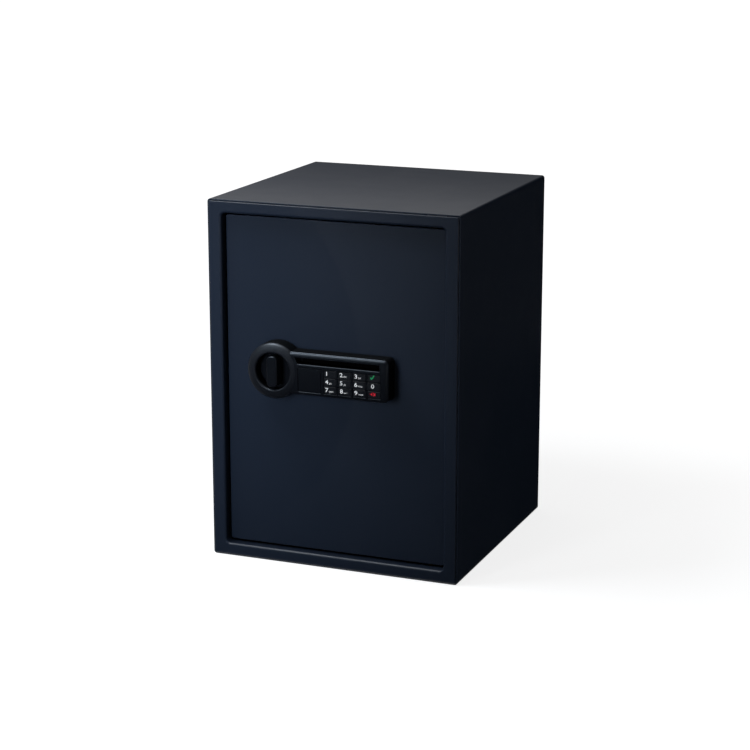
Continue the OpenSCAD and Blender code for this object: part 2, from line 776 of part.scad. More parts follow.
// Knob, spindle and crank
module thumb_edge_profile() {
    translate([-thumb_edge, 0]) intersection() {
        translate([0, thumb_edge]) circle(thumb_edge);
        square([thumb_edge, thumb_edge]);
    }
    translate([-thumb_edge, thumb_edge]) square([thumb_edge, knob_disc_y - thumb_front - thumb_edge]);
    translate([-thumb_edge - join_in, 0]) square([join_in, knob_disc_y - thumb_front]);
}

module knob() color(plastic_black) shop() difference() {
    union() {
        rod_y(knob_x, knob_z, knob_disc_r, knob_disc_y, knob_disc_y + knob_disc_h);
        rod_y(knob_x, knob_z, spindle_r + 3, knob_disc_y, door_recess - free_gap);
        upright(thumb_front, knob_disc_y + 1) round_rect(knob_x - thumb_w / 2 + thumb_edge,
            knob_z - thumb_h / 2 + thumb_edge, knob_x + thumb_w / 2 - thumb_edge,
            knob_z + thumb_h / 2 - thumb_edge, thumb_corner - thumb_edge);
        translate([0, thumb_front, 0]) carry_round(knob_x - thumb_w / 2, knob_z - thumb_h / 2,
            knob_x + thumb_w / 2, knob_z + thumb_h / 2, thumb_corner) thumb_edge_profile();
    }
    rod_y(knob_x, knob_z, spindle_r + fit_gap, knob_disc_y - spindle_bore, door_recess + 1);
}

module spindle() color(zinc) shop()
    rod_y(knob_x, knob_z, spindle_r, knob_disc_y - spindle_in, crank_y + crank_sheet);

module spindle_bush() color(brass) shop() difference() {
    union() {
        rod_y(knob_x, knob_z, bush_r, door_recess, door_back);
        rod_y(knob_x, knob_z, bush_flange_r, door_back, door_back + bush_flange_h);
    }
    rod_y(knob_x, knob_z, spindle_r + run_gap, door_recess - 1, door_back + bush_flange_h + 1);
}

module spindle_clip() color(steel_grey) shop() difference() {
    rod_y(knob_x, knob_z, spindle_r + clip_w, clip_y, clip_y + clip_sheet);
    rod_y(knob_x, knob_z, spindle_r + fit_gap, clip_y - 1, clip_y + clip_sheet + 1);
}

module crank() color(zinc) shop() {
    upright(crank_y, crank_y + crank_sheet) difference() {
        union() {
            translate([knob_x, knob_z]) circle(crank_hub_r);
            translate([crank_x, crank_z]) circle(crank_arm_r);
            translate([knob_x, knob_z]) rotate(-crank_rest)
                translate([-crank_arm_half, 0]) square([2 * crank_arm_half, crank_r]);
        }
        translate([knob_x, knob_z]) circle(spindle_r + fit_gap);
    }
    rod_y(crank_x, crank_z, crank_pin_r, crank_y + 1, tongue_y + bar_sheet + crank_pin_out);
}

// Bolt bar: a web across the bolts, and a tongue with the crank's slot and the blocking tooth.
module bolt_bar() color(steel_grey) shop() difference() {
    union() {
        block([bolt_bar_x, bolt_bar_front, bolt_zs[1] - bolt_bar_end],
            [bolt_bar_x + bar_sheet, bolt_bar_rear, bolt_zs[0] + bolt_bar_end]);
        block([bolt_bar_x, tongue_y, tongue_z0], [tongue_x1, tongue_y + bar_sheet, tongue_z1]);
        block([tongue_x1 - tooth_w, tongue_y, tongue_z1 - tooth_overlap],
            [tongue_x1, tongue_y + bar_sheet, tongue_z1 + tooth_h]);
    }
    for (z = bolt_zs) rod_x(bolt_y, z, bolt_neck_r + fit_gap, bolt_bar_x - 1, bolt_bar_x + bar_sheet + 1);
    rod_y(crank_x, crank_z, slot_half, tongue_y - 1, tongue_y + bar_sheet + 1);
    rod_y(crank_x, knob_z + crank_r, slot_half, tongue_y - 1, tongue_y + bar_sheet + 1);
    block([crank_x - slot_half, tongue_y - past, crank_z],
        [crank_x + slot_half, tongue_y + bar_sheet + past, knob_z + crank_r]);
}

module bolt(z) {
    rod_x(bolt_y, z, bolt_r, pan_x0 + bolt_chamfer, bolt_bar_x);
    rod_x(bolt_y, z, bolt_r - bolt_chamfer, pan_x0, pan_x0 + bolt_chamfer);
    rod_x(bolt_y, z, bolt_neck_r, bolt_bar_x, bolt_bar_x + bar_sheet + bolt_neck_out);
}

module upper_bolt() color(zinc) shop() bolt(bolt_zs[0]);

module lower_bolt() color(zinc) shop() bolt(bolt_zs[1]);

module bolt_guides() color(steel_grey) shop()
    for (z = bolt_zs) difference() {
        block([guide_x, door_back, z - guide_h / 2], [guide_x + guide_w, guide_back, z + guide_h / 2]);
        rod_x(bolt_y, z, bolt_r + run_gap, guide_x - 1, guide_x + guide_w + 1);
    }

module bolt_clips() color(steel_grey) shop()
    for (z = bolt_zs) difference() {
        rod_x(bolt_y, z, bolt_neck_r + bolt_clip_w, bolt_bar_x + bar_sheet,
            bolt_bar_x + bar_sheet + bolt_clip_sheet);
        rod_x(bolt_y, z, bolt_neck_r + fit_gap, bolt_bar_x, bolt_bar_x + bar_sheet + 2 * bolt_clip_sheet);
    }

// Solenoid
module solenoid_frame() color(zinc) shop() difference() {
    union() {
        block([plunger_x - sol_w / 2, door_back, sol_z0], [plunger_x + sol_w / 2, sol_back, sol_z0 + sol_sheet]);
        block([plunger_x - sol_w / 2, door_back, sol_z0 + sol_h - sol_sheet],
            [plunger_x + sol_w / 2, sol_back, sol_z0 + sol_h]);
        block([plunger_x - sol_w / 2, door_back, sol_z0],
            [plunger_x + sol_w / 2, door_back + sol_sheet, sol_z0 + sol_h]);
    }
    translate([plunger_x, bolt_y, sol_z0 - 1]) cylinder(r = plunger_r + run_gap, h = sol_sheet + 2);
}

module solenoid_coil() color("#7a3b22") shop()
    translate([plunger_x, bolt_y, sol_z0 + sol_sheet]) difference() {
        cylinder(r = min(coil_r, bolt_y - door_back - sol_sheet), h = sol_h - 2 * sol_sheet);
        translate([0, 0, -past])
            cylinder(r = plunger_r + free_gap, h = sol_h - 2 * sol_sheet + past - coil_closed);
}

// The plunger carries a collar for its spring and a lifter arm that reaches over the emergency cam.
module solenoid_plunger() color(steel_grey) shop() {
    translate([plunger_x, bolt_y, plunger_tip]) cylinder(r = plunger_r, h = plunger_top - plunger_tip);
    translate([plunger_x, bolt_y, collar_z]) cylinder(r = collar_r, h = collar_h);
    block([plunger_x, bolt_y - lifter_w / 2, collar_z],
        [plate_x + cam_w / 2, bolt_y + lifter_w / 2, collar_z + collar_h]);
}

module solenoid_spring() color(zinc) shop()
    translate([plunger_x, bolt_y, collar_z + collar_h + free_gap]) difference() {
        cylinder(r = spring_r, h = spring_h);
        translate([0, 0, -1]) cylinder(r = plunger_r + free_gap, h = spring_h + 2);
    }

// Battery box, in the inner cover
module battery_box() color(plastic_black) shop() difference() {
    union() {
        block([box_x0, box_floor - box_wall, box_z0], [box_x0 + box_w, box_back, box_z0 + box_h]);
        block([box_x0 - box_flange, cover_back, box_z0 - box_flange],
            [box_x0 + box_w + box_flange, box_back, box_z0 + box_h + box_flange]);
    }
    block([box_x0 + box_wall, box_floor, box_z0 + box_wall],
        [box_x0 + box_w - box_wall, box_back + past, box_z0 + box_h - box_wall]);
}

module battery_cover() color(plastic_black) shop()
    block([box_x0 + box_wall + free_gap, box_back - lid_sheet, box_z0 + box_wall + free_gap],
        [box_x0 + box_w - box_wall - free_gap, box_back, box_z0 + box_h - box_wall - free_gap]);

function battery_x(i) = box_x0 + box_wall + 1 + (i + 0.5) * battery_pitch;
function plus_up(i) = i % 2 == 0;
battery_z0 = box_z0 + box_h / 2 - battery_len / 2;
nub_r = 2.7;
nub_h = 1.2;

module batteries() color("#3a3d42") shop()
    for (i = [0 : 3]) translate([battery_x(i), battery_y, battery_z0]) {
        translate([0, 0, plus_up(i) ? 0 : nub_h]) cylinder(r = battery_r, h = battery_len - nub_h);
        translate([0, 0, plus_up(i) ? battery_len - nub_h : 0]) cylinder(r = nub_r, h = nub_h);
    }

contact_sheet = 0.8;
contact_half = 5;
contact_coil_r = 4;
module battery_contacts() color(zinc) shop()
    for (i = [0 : 3], top = [0, 1]) {
        wall_z = top ? box_z0 + box_h - box_wall : box_z0 + box_wall;
        end_z = top ? battery_z0 + battery_len : battery_z0;
        inward = top ? -1 : 1;
        tab_z = wall_z + inward * contact_sheet;
        is_plus = plus_up(i) == (top == 1);
        block([battery_x(i) - contact_half, battery_y - contact_half, min(wall_z, tab_z)],
            [battery_x(i) + contact_half, battery_y + contact_half, max(wall_z, tab_z)]);
        translate([battery_x(i), battery_y, min(tab_z, end_z)])
            cylinder(r = is_plus ? nub_r : contact_coil_r, h = abs(end_z - tab_z));
    }

module control_board() color("#2f6b45") shop() {
    block([control_x0, control_y, control_z0], [control_x1, control_y + board_sheet, control_z1]);
    block([chip_x, control_y + board_sheet, chip_z],
        [chip_x + chip_w, control_y + board_sheet + chip_h, chip_z + chip_w]);
}

module board_standoffs() color(brass) shop()
    for (x = [control_x0 + standoff_in, control_x1 - standoff_in],
            z = [control_z0 + standoff_in, control_z1 - standoff_in])
        rod_y(x, z, standoff_r, control_y + board_sheet, pan_back);

module reset_switch() color("#26282c") shop()
    block([button_x - switch_w / 2, control_y + board_sheet, button_z - switch_w / 2],
        [button_x + switch_w / 2, switch_back, button_z + switch_w / 2]);

module reset_button() color("#b5202a") shop()
    rod_y(button_x, button_z, button_r, switch_back + button_travel + button_gap, cover_back + button_out);

// A lead is a tube swept along its points, with each corner turned into a soft bend.
lead_sides = 8;
lead_bend = 6;
lead_r = 1.2;
bend_steps = 4;
function unit(v) = v / norm(v);
function curve_at(a, b, c, t) = (1 - t) * (1 - t) * a + 2 * t * (1 - t) * b + t * t * c;
function with_bends(p) = [
    p[0],
    for (i = [1 : len(p) - 2], step = [0 : bend_steps])
        curve_at(p[i] - lead_bend * unit(p[i] - p[i - 1]), p[i],
            p[i] + lead_bend * unit(p[i + 1] - p[i]), step / bend_steps),
    p[len(p) - 1]
];
function heading(p, i) =
    i == 0 ? unit(p[1] - p[0])
    : i == len(p) - 1 ? unit(p[i] - p[i - 1])
    : unit(unit(p[i] - p[i - 1]) + unit(p[i + 1] - p[i]));
function first_ring(p, r) =
    let (along = heading(p, 0), side = unit(cross(along, [0.31, 0.17, 1])), up = cross(along, side))
    [for (k = [0 : lead_sides - 1])
        p[0] + r * (cos(k * 360 / lead_sides) * side + sin(k * 360 / lead_sides) * up)];
function next_ring(ring, from, to, normal) =
    let (along = unit(to - from))
    [for (q = ring) q + along * ((to - q) * normal) / (along * normal)];
function rings(p, r, i) =
    i == 0 ? [first_ring(p, r)]
    : let (before = rings(p, r, i - 1))
        concat(before, [next_ring(before[i - 1], p[i - 1], p[i], heading(p, i))]);

module lead(points, r) {
    path = with_bends(points);
    n = lead_sides;
    last = len(path) - 1;
    polyhedron(
        points = [for (ring = rings(path, r, last), q = ring) q],
        faces = concat(
            [[for (k = [0 : n - 1]) k]],
            [for (i = [0 : last - 1], k = [0 : n - 1])
                [i * n + k, (i + 1) * n + k, (i + 1) * n + (k + 1) % n]],
            [for (i = [0 : last - 1], k = [0 : n - 1])
                [i * n + k, (i + 1) * n + (k + 1) % n, i * n + (k + 1) % n]],
            [[for (k = [n - 1 : -1 : 0]) last * n + k]]
        )
    );
}

// How far each lead stands off what it runs past, and meets the control board in from its edges.
cable_stand = 14;
cable_in = [20, 10];
coil_lead_stand = 10;
coil_lead_in = [12, 10];
battery_lead_stand = 10;
battery_lead_in = [32, 8];

cable_run_y = door_back + cable_stand;
cable_end_x = control_x0 + cable_in[0];
cable_end_z = control_z0 + cable_in[1];
keypad_cable_points = [
    [cable_x, board_y + board_sheet, cable_z],
    [cable_x, cable_run_y, cable_z],
    [cable_end_x, cable_run_y, cable_end_z],
    [cable_end_x, control_y, cable_end_z]
];
module keypad_cable() color("#4a4d55") shop() lead(keypad_cable_points, cable_r);

coil_lead_side = 8;
coil_lead_front = 14;
coil_lead_x = plunger_x + coil_lead_side;
coil_lead_y = sol_back - coil_lead_front;
coil_lead_top = sol_z0 + sol_h + coil_lead_stand;
coil_lead_end_x = control_x0 + coil_lead_in[0];
coil_lead_end_z = control_z1 - coil_lead_in[1];
solenoid_lead_points = [
    [coil_lead_x, coil_lead_y, sol_z0 + sol_h],
    [coil_lead_x, coil_lead_y, coil_lead_top],
    [coil_lead_end_x, coil_lead_y, coil_lead_top],
    [coil_lead_end_x, coil_lead_y, coil_lead_end_z],
    [coil_lead_end_x, control_y, coil_lead_end_z]
];
battery_lead_deep = 1;
battery_lead_low = 12;
battery_lead_rise = 20;
battery_lead_y = box_floor + battery_lead_deep;
battery_lead_z = box_z0 + box_h - battery_lead_low;
battery_lead_x = control_x0 + battery_lead_in[0];
battery_lead_front = control_y - battery_lead_stand;
battery_lead_end_z = control_z0 + battery_lead_in[1];
battery_lead_points = [
    [box_x0 + box_w, battery_lead_y, battery_lead_z],
    [battery_lead_x, battery_lead_y, battery_lead_z],
    [battery_lead_x, battery_lead_front, battery_lead_z + battery_lead_rise],
    [battery_lead_x, battery_lead_front, battery_lead_end_z],
    [battery_lead_x, control_y, battery_lead_end_z]
];
module solenoid_lead() color("#8c2a2a") shop() lead(solenoid_lead_points, lead_r);

module battery_lead() color("#8c2a2a") shop() lead(battery_lead_points, lead_r);

body_wrap();
front_frame();
rear_panel();
upper_hinge_bracket();
lower_hinge_bracket();
hinge_pins();
hinge_washers();
shelf_rests();
shelf();
floor_mat();
door_plate();
door_pan();
inner_cover();
cover_screws();
lock_panel();
panel_screws();
cover_plate();
keypad_mat();
keypad_board();
key(0, 0);  // key_1
key(1, 0);  // key_2
key(2, 0);  // key_3
key(3, 0);  // key_enter
key(0, 1);  // key_4
key(1, 1);  // key_5
key(2, 1);  // key_6
key(3, 1);  // key_0
key(0, 2);  // key_7
key(1, 2);  // key_8
key(2, 2);  // key_9
key(3, 2);  // key_clear
emergency_lock_body();
emergency_lock_nut();
emergency_plug();
emergency_cam();
knob();
spindle();
spindle_bush();
spindle_clip();
crank();
bolt_bar();
upper_bolt();
lower_bolt();
bolt_guides();
bolt_clips();
solenoid_frame();
solenoid_coil();
solenoid_plunger();
solenoid_spring();
battery_box();
battery_cover();
batteries();
battery_contacts();
control_board();
board_standoffs();
reset_switch();
reset_button();
keypad_cable();
solenoid_lead();
battery_lead();
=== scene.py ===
import math

import bmesh
import bpy
from mathutils import Matrix, Vector


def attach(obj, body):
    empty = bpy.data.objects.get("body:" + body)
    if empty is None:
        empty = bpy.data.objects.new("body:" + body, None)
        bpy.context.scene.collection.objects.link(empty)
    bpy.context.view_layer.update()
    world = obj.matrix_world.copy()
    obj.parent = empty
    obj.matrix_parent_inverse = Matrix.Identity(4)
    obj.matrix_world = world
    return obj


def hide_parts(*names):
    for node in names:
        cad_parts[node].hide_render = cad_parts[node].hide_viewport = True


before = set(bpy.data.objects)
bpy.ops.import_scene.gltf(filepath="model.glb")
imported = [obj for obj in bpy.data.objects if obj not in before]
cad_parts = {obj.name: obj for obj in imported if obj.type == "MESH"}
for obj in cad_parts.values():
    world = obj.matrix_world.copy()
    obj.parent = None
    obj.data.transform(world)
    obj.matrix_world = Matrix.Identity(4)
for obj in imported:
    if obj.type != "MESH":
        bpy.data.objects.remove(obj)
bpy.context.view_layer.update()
scene = bpy.context.scene
scene.view_settings.view_transform = "Standard"

# Shop places: millimetres, x from the safe's left side, y back from its front frame, z up from
# the floor. The part's own origin lies under the middle of the safe.
MM = 0.001
ORIGIN_X, ORIGIN_Y = 180.0, 171.5

# Outlines seen from the front: left, bottom, right, top.
SHELL = (0.0, 0.0, 360.0, 500.0)
MOUTH = (20.0, 18.0, 340.0, 482.0)
DOOR_FACE = (22.5, 21.5, 337.5, 478.5)
DOOR_TRAY = (23.5, 22.5, 336.5, 477.5)
INNER_COVER = (26.0, 25.0, 334.0, 475.0)
BATTERY_WELL = (200.0, 165.0, 268.0, 228.5)
PANEL_BAR = (100.0, 245.0, 266.0, 303.0)
FINGER_SLOT = (120.0, 287.5, 253.6, 295.8)

# The steel: the shell's outer corner, how far the front frame's edge lies inside the shell, the
# corner of the frame's mouth, the outer and inner radius of its lip, the radius of its outer edge,
# and the least radius of any corner.
SHELL_CORNER, FRAME_INSET, MOUTH_CORNER = 4.0, 2.4, 6.0
LIP_ROLL, LIP_INSIDE, EDGE_ROLL = 3.5, 1.5, 1.2
SHARP_CORNER = 0.05

# Holes for anchor bolts: their two x places, y in the floor, z in the rear panel, and radius.
ANCHORS_X, ANCHOR_Y, ANCHOR_Z, ANCHOR_R = (90.0, 270.0), 180.0, 380.0, 5.0

# What holes in the door are made for: hinge pins, bolts, screws, the reset button and the posts
# that the lock panel is screwed on by.
HINGE_X, HINGE_Y, HINGE_HOLE_R = 317.5, 21.0, 3.06
BOLT_Y, BOLT_HOLE_R = 26.0, 9.3
BOLTS = {"upper_bolt": 384.0, "lower_bolt": 164.0}
COVER_SCREWS = [(x, z) for x in (31.5, 328.5) for z in (52.5, 250.0, 447.5)]
RESET_X, RESET_Z = 300.0, 325.0
PANEL_POSTS = [(260.6, 252.0), (260.6, 292.0), (77.4, 296.6), (77.4, 251.4)]

# The lock panel: the knob's axis, the panel's face and back, the middle of the cover plate and of
# the keys' left column and middle row, the distances between keys, and the lock barrel's hole.
KNOB_X, KNOB_Z = 100.0, 274.0
PANEL_FACE, PANEL_BACK = -13.0, 12.0
PLATE_X = 153.4
KEYS_X, KEYS_Z, PITCH_X, PITCH_Z = 183.1, 266.2, 20.9, 11.2
BARREL_HOLE_R = 9.8

# The face bows back with the square of the height from the knob, divided by BOW. The bow begins
# at BOW_START and is in full BOW_OVER before it.
BOW, BOW_START, BOW_OVER = 560.0, -9.2, 2.4

# The panel's sides, which get painted shade: what lies behind SIDE_START and looks forward or back by less
# than SIDE_TILT.
SIDE_START, SIDE_TILT = -9.0, 0.3

# The keys' tops, and the back and front of what is printed on them.
KEY_FACE = -12.6
INK_BACK, INK_FRONT = KEY_FACE + 0.05, KEY_FACE - 0.04

# Four batteries side by side: the left one's left side, their distance, the y of their axes,
# their lower ends and their length.
CELLS_LEFT, CELL_PITCH, CELL_Y, CELL_LOW, CELL_LONG = 203.0, 15.5, 42.75, 171.5, 50.5


def place(x, y, z):
    """A shop place in the part's own frame, in metres."""
    return Vector(((x - ORIGIN_X) * MM, (y - ORIGIN_Y) * MM, z * MM))


def set_camera():
    """The photograph's viewpoint, with upright shift left at nought."""
    yaw, pitch = math.radians(21.852), math.radians(14.37)
    gaze = Vector((-math.sin(yaw) * math.cos(pitch), math.cos(yaw) * math.cos(pitch), -math.sin(pitch)))
    lens = bpy.data.cameras.new("camera")
    lens.lens = 99.89
    lens.sensor_width = 36.0
    lens.clip_start = 0.05
    camera = bpy.data.objects.new("camera", lens)
    camera.location = (1.0539, -2.6431, 0.9618)
    camera.rotation_mode = "QUATERNION"
    camera.rotation_quaternion = gaze.to_track_quat("-Z", "Y")
    scene.collection.objects.link(camera)
    scene.camera = camera


set_camera()


# Node trees

FLOAT, VECTOR, COLOUR = "NodeSocketFloat", "NodeSocketVector", "NodeSocketColor"

# Places of a Mix node's sockets: the colours that it mixes and gives, and the same for numbers.
FIRST_COLOUR, SECOND_COLOUR, MIXED_COLOUR = 6, 7, 2
FIRST_NUMBER, SECOND_NUMBER, MIXED_NUMBER = 2, 3, 0


def add_node(tree, kind, values=None, **settings):
    """A node with its settings and its sockets' values."""
    made = tree.nodes.new(kind)
    for key, value in settings.items():
        setattr(made, key, value)
    for socket, value in (values or {}).items():
        made.inputs[socket].default_value = value
    return made


def wire(tree, *pairs):
    """Leads the first socket of each pair to the second."""
    for start, end in pairs:
        tree.links.new(start, end)


def new_group(name, inputs, outputs):
    """An empty group with its sockets, and the nodes that stand for its inside ends."""
    tree = bpy.data.node_groups.new(name, "ShaderNodeTree")
    for label, kind, value in inputs:
        socket = tree.interface.new_socket(name=label, in_out="INPUT", socket_type=kind)
        if value is not None:
            socket.default_value = value
    for label, kind in outputs:
        tree.interface.new_socket(name=label, in_out="OUTPUT", socket_type=kind)
    return tree, add_node(tree, "NodeGroupInput"), add_node(tree, "NodeGroupOutput")


def wire_tone_and_gloss(tree, given, made, tone, wear):
    """Mixes the group's two colours by tone, and its two gloss values by wear."""
    colour = add_node(tree, "ShaderNodeMix", data_type="RGBA")
    gloss = add_node(tree, "ShaderNodeMapRange", {"From Min": 0.3, "From Max": 0.7})
    wire(tree,
         (tone, colour.inputs["Factor"]),
         (given.outputs["Dark"], colour.inputs[FIRST_COLOUR]),
         (given.outputs["Light"], colour.inputs[SECOND_COLOUR]),
         (colour.outputs[MIXED_COLOUR], made.inputs["Colour"]),
         (wear, gloss.inputs["Value"]),
         (given.outputs["Gloss low"], gloss.inputs["To Min"]),
         (given.outputs["Gloss high"], gloss.inputs["To Max"]),
         (gloss.outputs["Result"], made.inputs["Roughness"]))


def make_coat_grain():
    """Orange peel and fine speckle, as of a baked powder coat or a moulded plastic."""
    tree, given, made = new_group(
        "coat_grain",
        [("Place", VECTOR, None), ("Peel", FLOAT, 620.0), ("Speckle", FLOAT, 2600.0),
         ("Gloss low", FLOAT, 0.4), ("Gloss high", FLOAT, 0.5), ("Dark", COLOUR, (0, 0, 0, 1)),
         ("Light", COLOUR, (1, 1, 1, 1))],
        [("Colour", COLOUR), ("Roughness", FLOAT), ("Height", FLOAT)],
    )
    peel = add_node(tree, "ShaderNodeTexNoise", {"Detail": 2.0, "Roughness": 0.45})
    speckle = add_node(tree, "ShaderNodeTexNoise", {"Detail": 1.0, "Roughness": 0.5})
    cloud = add_node(tree, "ShaderNodeTexNoise", {"Scale": 9.0, "Detail": 3.0})
    wire(tree, *[(given.outputs["Place"], noise.inputs["Vector"]) for noise in (peel, speckle, cloud)])
    height = add_node(tree, "ShaderNodeMath", {1: 0.28}, operation="MULTIPLY_ADD")
    half_cloud = add_node(tree, "ShaderNodeMath", {1: 0.5}, operation="MULTIPLY")
    tone = add_node(tree, "ShaderNodeMath", {1: 0.5}, operation="MULTIPLY_ADD")
    wire(tree,
         (given.outputs["Peel"], peel.inputs["Scale"]),
         (given.outputs["Speckle"], speckle.inputs["Scale"]),
         (speckle.outputs["Fac"], height.inputs[0]),
         (peel.outputs["Fac"], height.inputs[2]),
         (height.outputs[0], made.inputs["Height"]),
         (cloud.outputs["Fac"], half_cloud.inputs[0]),
         (speckle.outputs["Fac"], tone.inputs[0]),
         (half_cloud.outputs[0], tone.inputs[2]))
    wire_tone_and_gloss(tree, given, made, tone.outputs[0], cloud.outputs["Fac"])
    return tree


def make_metal_marks():
    """Fine lines left by the mill or the lathe, drawn long along one axis."""
    tree, given, made = new_group(
        "metal_marks",
        [("Place", VECTOR, None), ("Stretch", VECTOR, (40.0, 2500.0, 2500.0)), ("Gloss low", FLOAT, 0.2),
         ("Gloss high", FLOAT, 0.35), ("Dark", COLOUR, (0, 0, 0, 1)), ("Light", COLOUR, (1, 1, 1, 1))],
        [("Colour", COLOUR), ("Roughness", FLOAT), ("Height", FLOAT)],
    )
    drawn_out = add_node(tree, "ShaderNodeMapping")
    lines = add_node(tree, "ShaderNodeTexNoise", {"Scale": 1.0, "Detail": 2.0, "Roughness": 0.6})
    cloud = add_node(tree, "ShaderNodeTexNoise", {"Scale": 60.0, "Detail": 2.0})
    wire(tree,
         (given.outputs["Place"], drawn_out.inputs["Vector"]),
         (given.outputs["Stretch"], drawn_out.inputs["Scale"]),
         (drawn_out.outputs["Vector"], lines.inputs["Vector"]),
         (given.outputs["Place"], cloud.inputs["Vector"]),
         (lines.outputs["Fac"], made.inputs["Height"]))
    wire_tone_and_gloss(tree, given, made, cloud.outputs["Fac"], lines.outputs["Fac"])
    return tree


coat_grain = make_coat_grain()
metal_marks = make_metal_marks()


def finish(name, group, dark, light, gloss, bump, relief, marks=None, **shader):
    """A Principled finish whose colour, roughness and bump come from one of the groups.

    The colour lies between dark and light, the roughness between the two values of gloss. bump
    and relief are the bump's strength and its depth in metres, marks the group's other values.
    """
    made = bpy.data.materials.new(name)
    made.use_nodes = True
    tree = made.node_tree
    coat = tree.nodes["Principled BSDF"]
    for socket, value in shader.items():
        coat.inputs[socket.replace("_", " ")].default_value = value
    where = add_node(tree, "ShaderNodeTexCoord")
    values = {"Dark": (*dark, 1), "Light": (*light, 1), "Gloss low": gloss[0], "Gloss high": gloss[1]}
    grain = add_node(tree, "ShaderNodeGroup", node_tree=group)
    for socket, value in {**values, **(marks or {})}.items():
        grain.inputs[socket].default_value = value
    lift = add_node(tree, "ShaderNodeBump", {"Strength": bump, "Distance": relief})
    wire(tree,
         (where.outputs["Object"], grain.inputs["Place"]),
         (grain.outputs["Colour"], coat.inputs["Base Color"]),
         (grain.outputs["Roughness"], coat.inputs["Roughness"]),
         (grain.outputs["Height"], lift.inputs["Height"]),
         (lift.outputs["Normal"], coat.inputs["Normal"]))
    return made


MOULDED = {"Peel": 1500.0, "Speckle": 4200.0}

powder_coat = finish("powder_coat", coat_grain, (0.0078, 0.0126, 0.0236), (0.0100, 0.0154, 0.0282),
                     (0.38, 0.44), 0.35, 0.00012, Specular_IOR_Level=0.40)
black_plastic = finish("black_plastic", coat_grain, (0.0030, 0.0037, 0.0054), (0.0042, 0.0051, 0.0074),
                       (0.32, 0.40), 0.30, 0.00006, MOULDED, Specular_IOR_Level=0.44,
                       Specular_Tint=(0.74, 0.86, 1.0, 1))
# A lighter copy of the panel plastic for the ring's face: its lighter colour is painted light, its rougher
# gloss its own.
lit_ring_plastic = finish("lit_ring_plastic", coat_grain, (0.0038, 0.0047, 0.0070), (0.0052, 0.0063, 0.0092),
                      (0.42, 0.50), 0.30, 0.00006, MOULDED, Specular_IOR_Level=0.78,
                      Specular_Tint=(0.82, 0.90, 1.0, 1))
# A darker, duller copy of the panel plastic for the panel's sides: painted shade.
painted_shade_plastic = finish("painted_shade_plastic", coat_grain, (0.0010, 0.0012, 0.0018), (0.0015, 0.0018, 0.0027),
                      (0.58, 0.68), 0.30, 0.00006, MOULDED, Specular_IOR_Level=0.12)
key_plastic = finish("key_plastic", coat_grain, (0.0060, 0.0070, 0.0095), (0.0080, 0.0092, 0.0122),
                     (0.36, 0.44), 0.25, 0.00005, {"Peel": 2000.0, "Speckle": 5200.0},
                     Specular_IOR_Level=0.32)
# A near-black, unglossy sheet for the finger slot's inside: painted shade.
painted_shade_black = finish("painted_shade_black", coat_grain, (0.0006, 0.0006, 0.0008), (0.0010, 0.0010, 0.0013),
                     (0.80, 0.90), 0.30, 0.00006, MOULDED, Specular_IOR_Level=0.05)
zinc_plate = finish("zinc_plate", metal_marks, (0.50, 0.53, 0.56), (0.64, 0.66, 0.69), (0.20, 0.34),
                    0.20, 0.00003, Metallic=1.0)
bracket_zinc = finish("bracket_zinc", metal_marks, (0.30, 0.31, 0.32), (0.42, 0.43, 0.44), (0.34, 0.48),
                      0.25, 0.00004, {"Stretch": (900.0, 900.0, 60.0)}, Metallic=1.0)
turned_brass = finish("turned_brass", metal_marks, (0.48, 0.34, 0.13), (0.60, 0.44, 0.19), (0.22, 0.36),
                      0.20, 0.00003, Metallic=1.0)
circuit_board = finish("circuit_board", coat_grain, (0.012, 0.075, 0.035), (0.020, 0.115, 0.055),
                       (0.28, 0.36), 0.25, 0.00005, {"Peel": 900.0}, Specular_IOR_Level=0.5)
battery_wrap = finish("battery_wrap", coat_grain, (0.030, 0.032, 0.038), (0.045, 0.048, 0.056),
                      (0.20, 0.28), 0.10, 0.00003, {"Peel": 300.0}, Specular_IOR_Level=0.5)
red_button = finish("red_button", coat_grain, (0.42, 0.012, 0.016), (0.52, 0.018, 0.022),
                    (0.26, 0.34), 0.20, 0.00004, {"Peel": 1500.0}, Specular_IOR_Level=0.5)
pad_rubber = finish("pad_rubber", coat_grain, (0.11, 0.12, 0.13), (0.15, 0.16, 0.17),
                    (0.60, 0.72), 0.25, 0.00006, {"Peel": 1200.0}, Specular_IOR_Level=0.4)
oiled_brass = finish("oiled_brass", metal_marks, (0.07, 0.05, 0.02), (0.12, 0.085, 0.035), (0.40, 0.55),
                     0.20, 0.00003, Metallic=1.0)
coil_copper = finish("coil_copper", metal_marks, (0.26, 0.085, 0.035), (0.40, 0.15, 0.06), (0.28, 0.42),
                     0.60, 0.00012, {"Stretch": (200.0, 200.0, 2600.0)}, Metallic=0.9)
felt = finish("felt", coat_grain, (0.018, 0.019, 0.021), (0.040, 0.041, 0.045), (0.90, 1.0),
              0.80, 0.00040, {"Peel": 1400.0, "Speckle": 3600.0}, Specular_IOR_Level=0.2)
legend_white = finish("legend_white", coat_grain, (0.74, 0.75, 0.76), (0.84, 0.85, 0.86),
                      (0.40, 0.50), 0.10, 0.00002, Specular_IOR_Level=0.4)
legend_green = finish("legend_green", coat_grain, (0.006, 0.33, 0.10), (0.012, 0.42, 0.14),
                      (0.40, 0.50), 0.10, 0.00002, Specular_IOR_Level=0.4)
legend_red = finish("legend_red", coat_grain, (0.55, 0.008, 0.022), (0.66, 0.014, 0.032),
                    (0.40, 0.50), 0.10, 0.00002, Specular_IOR_Level=0.4)

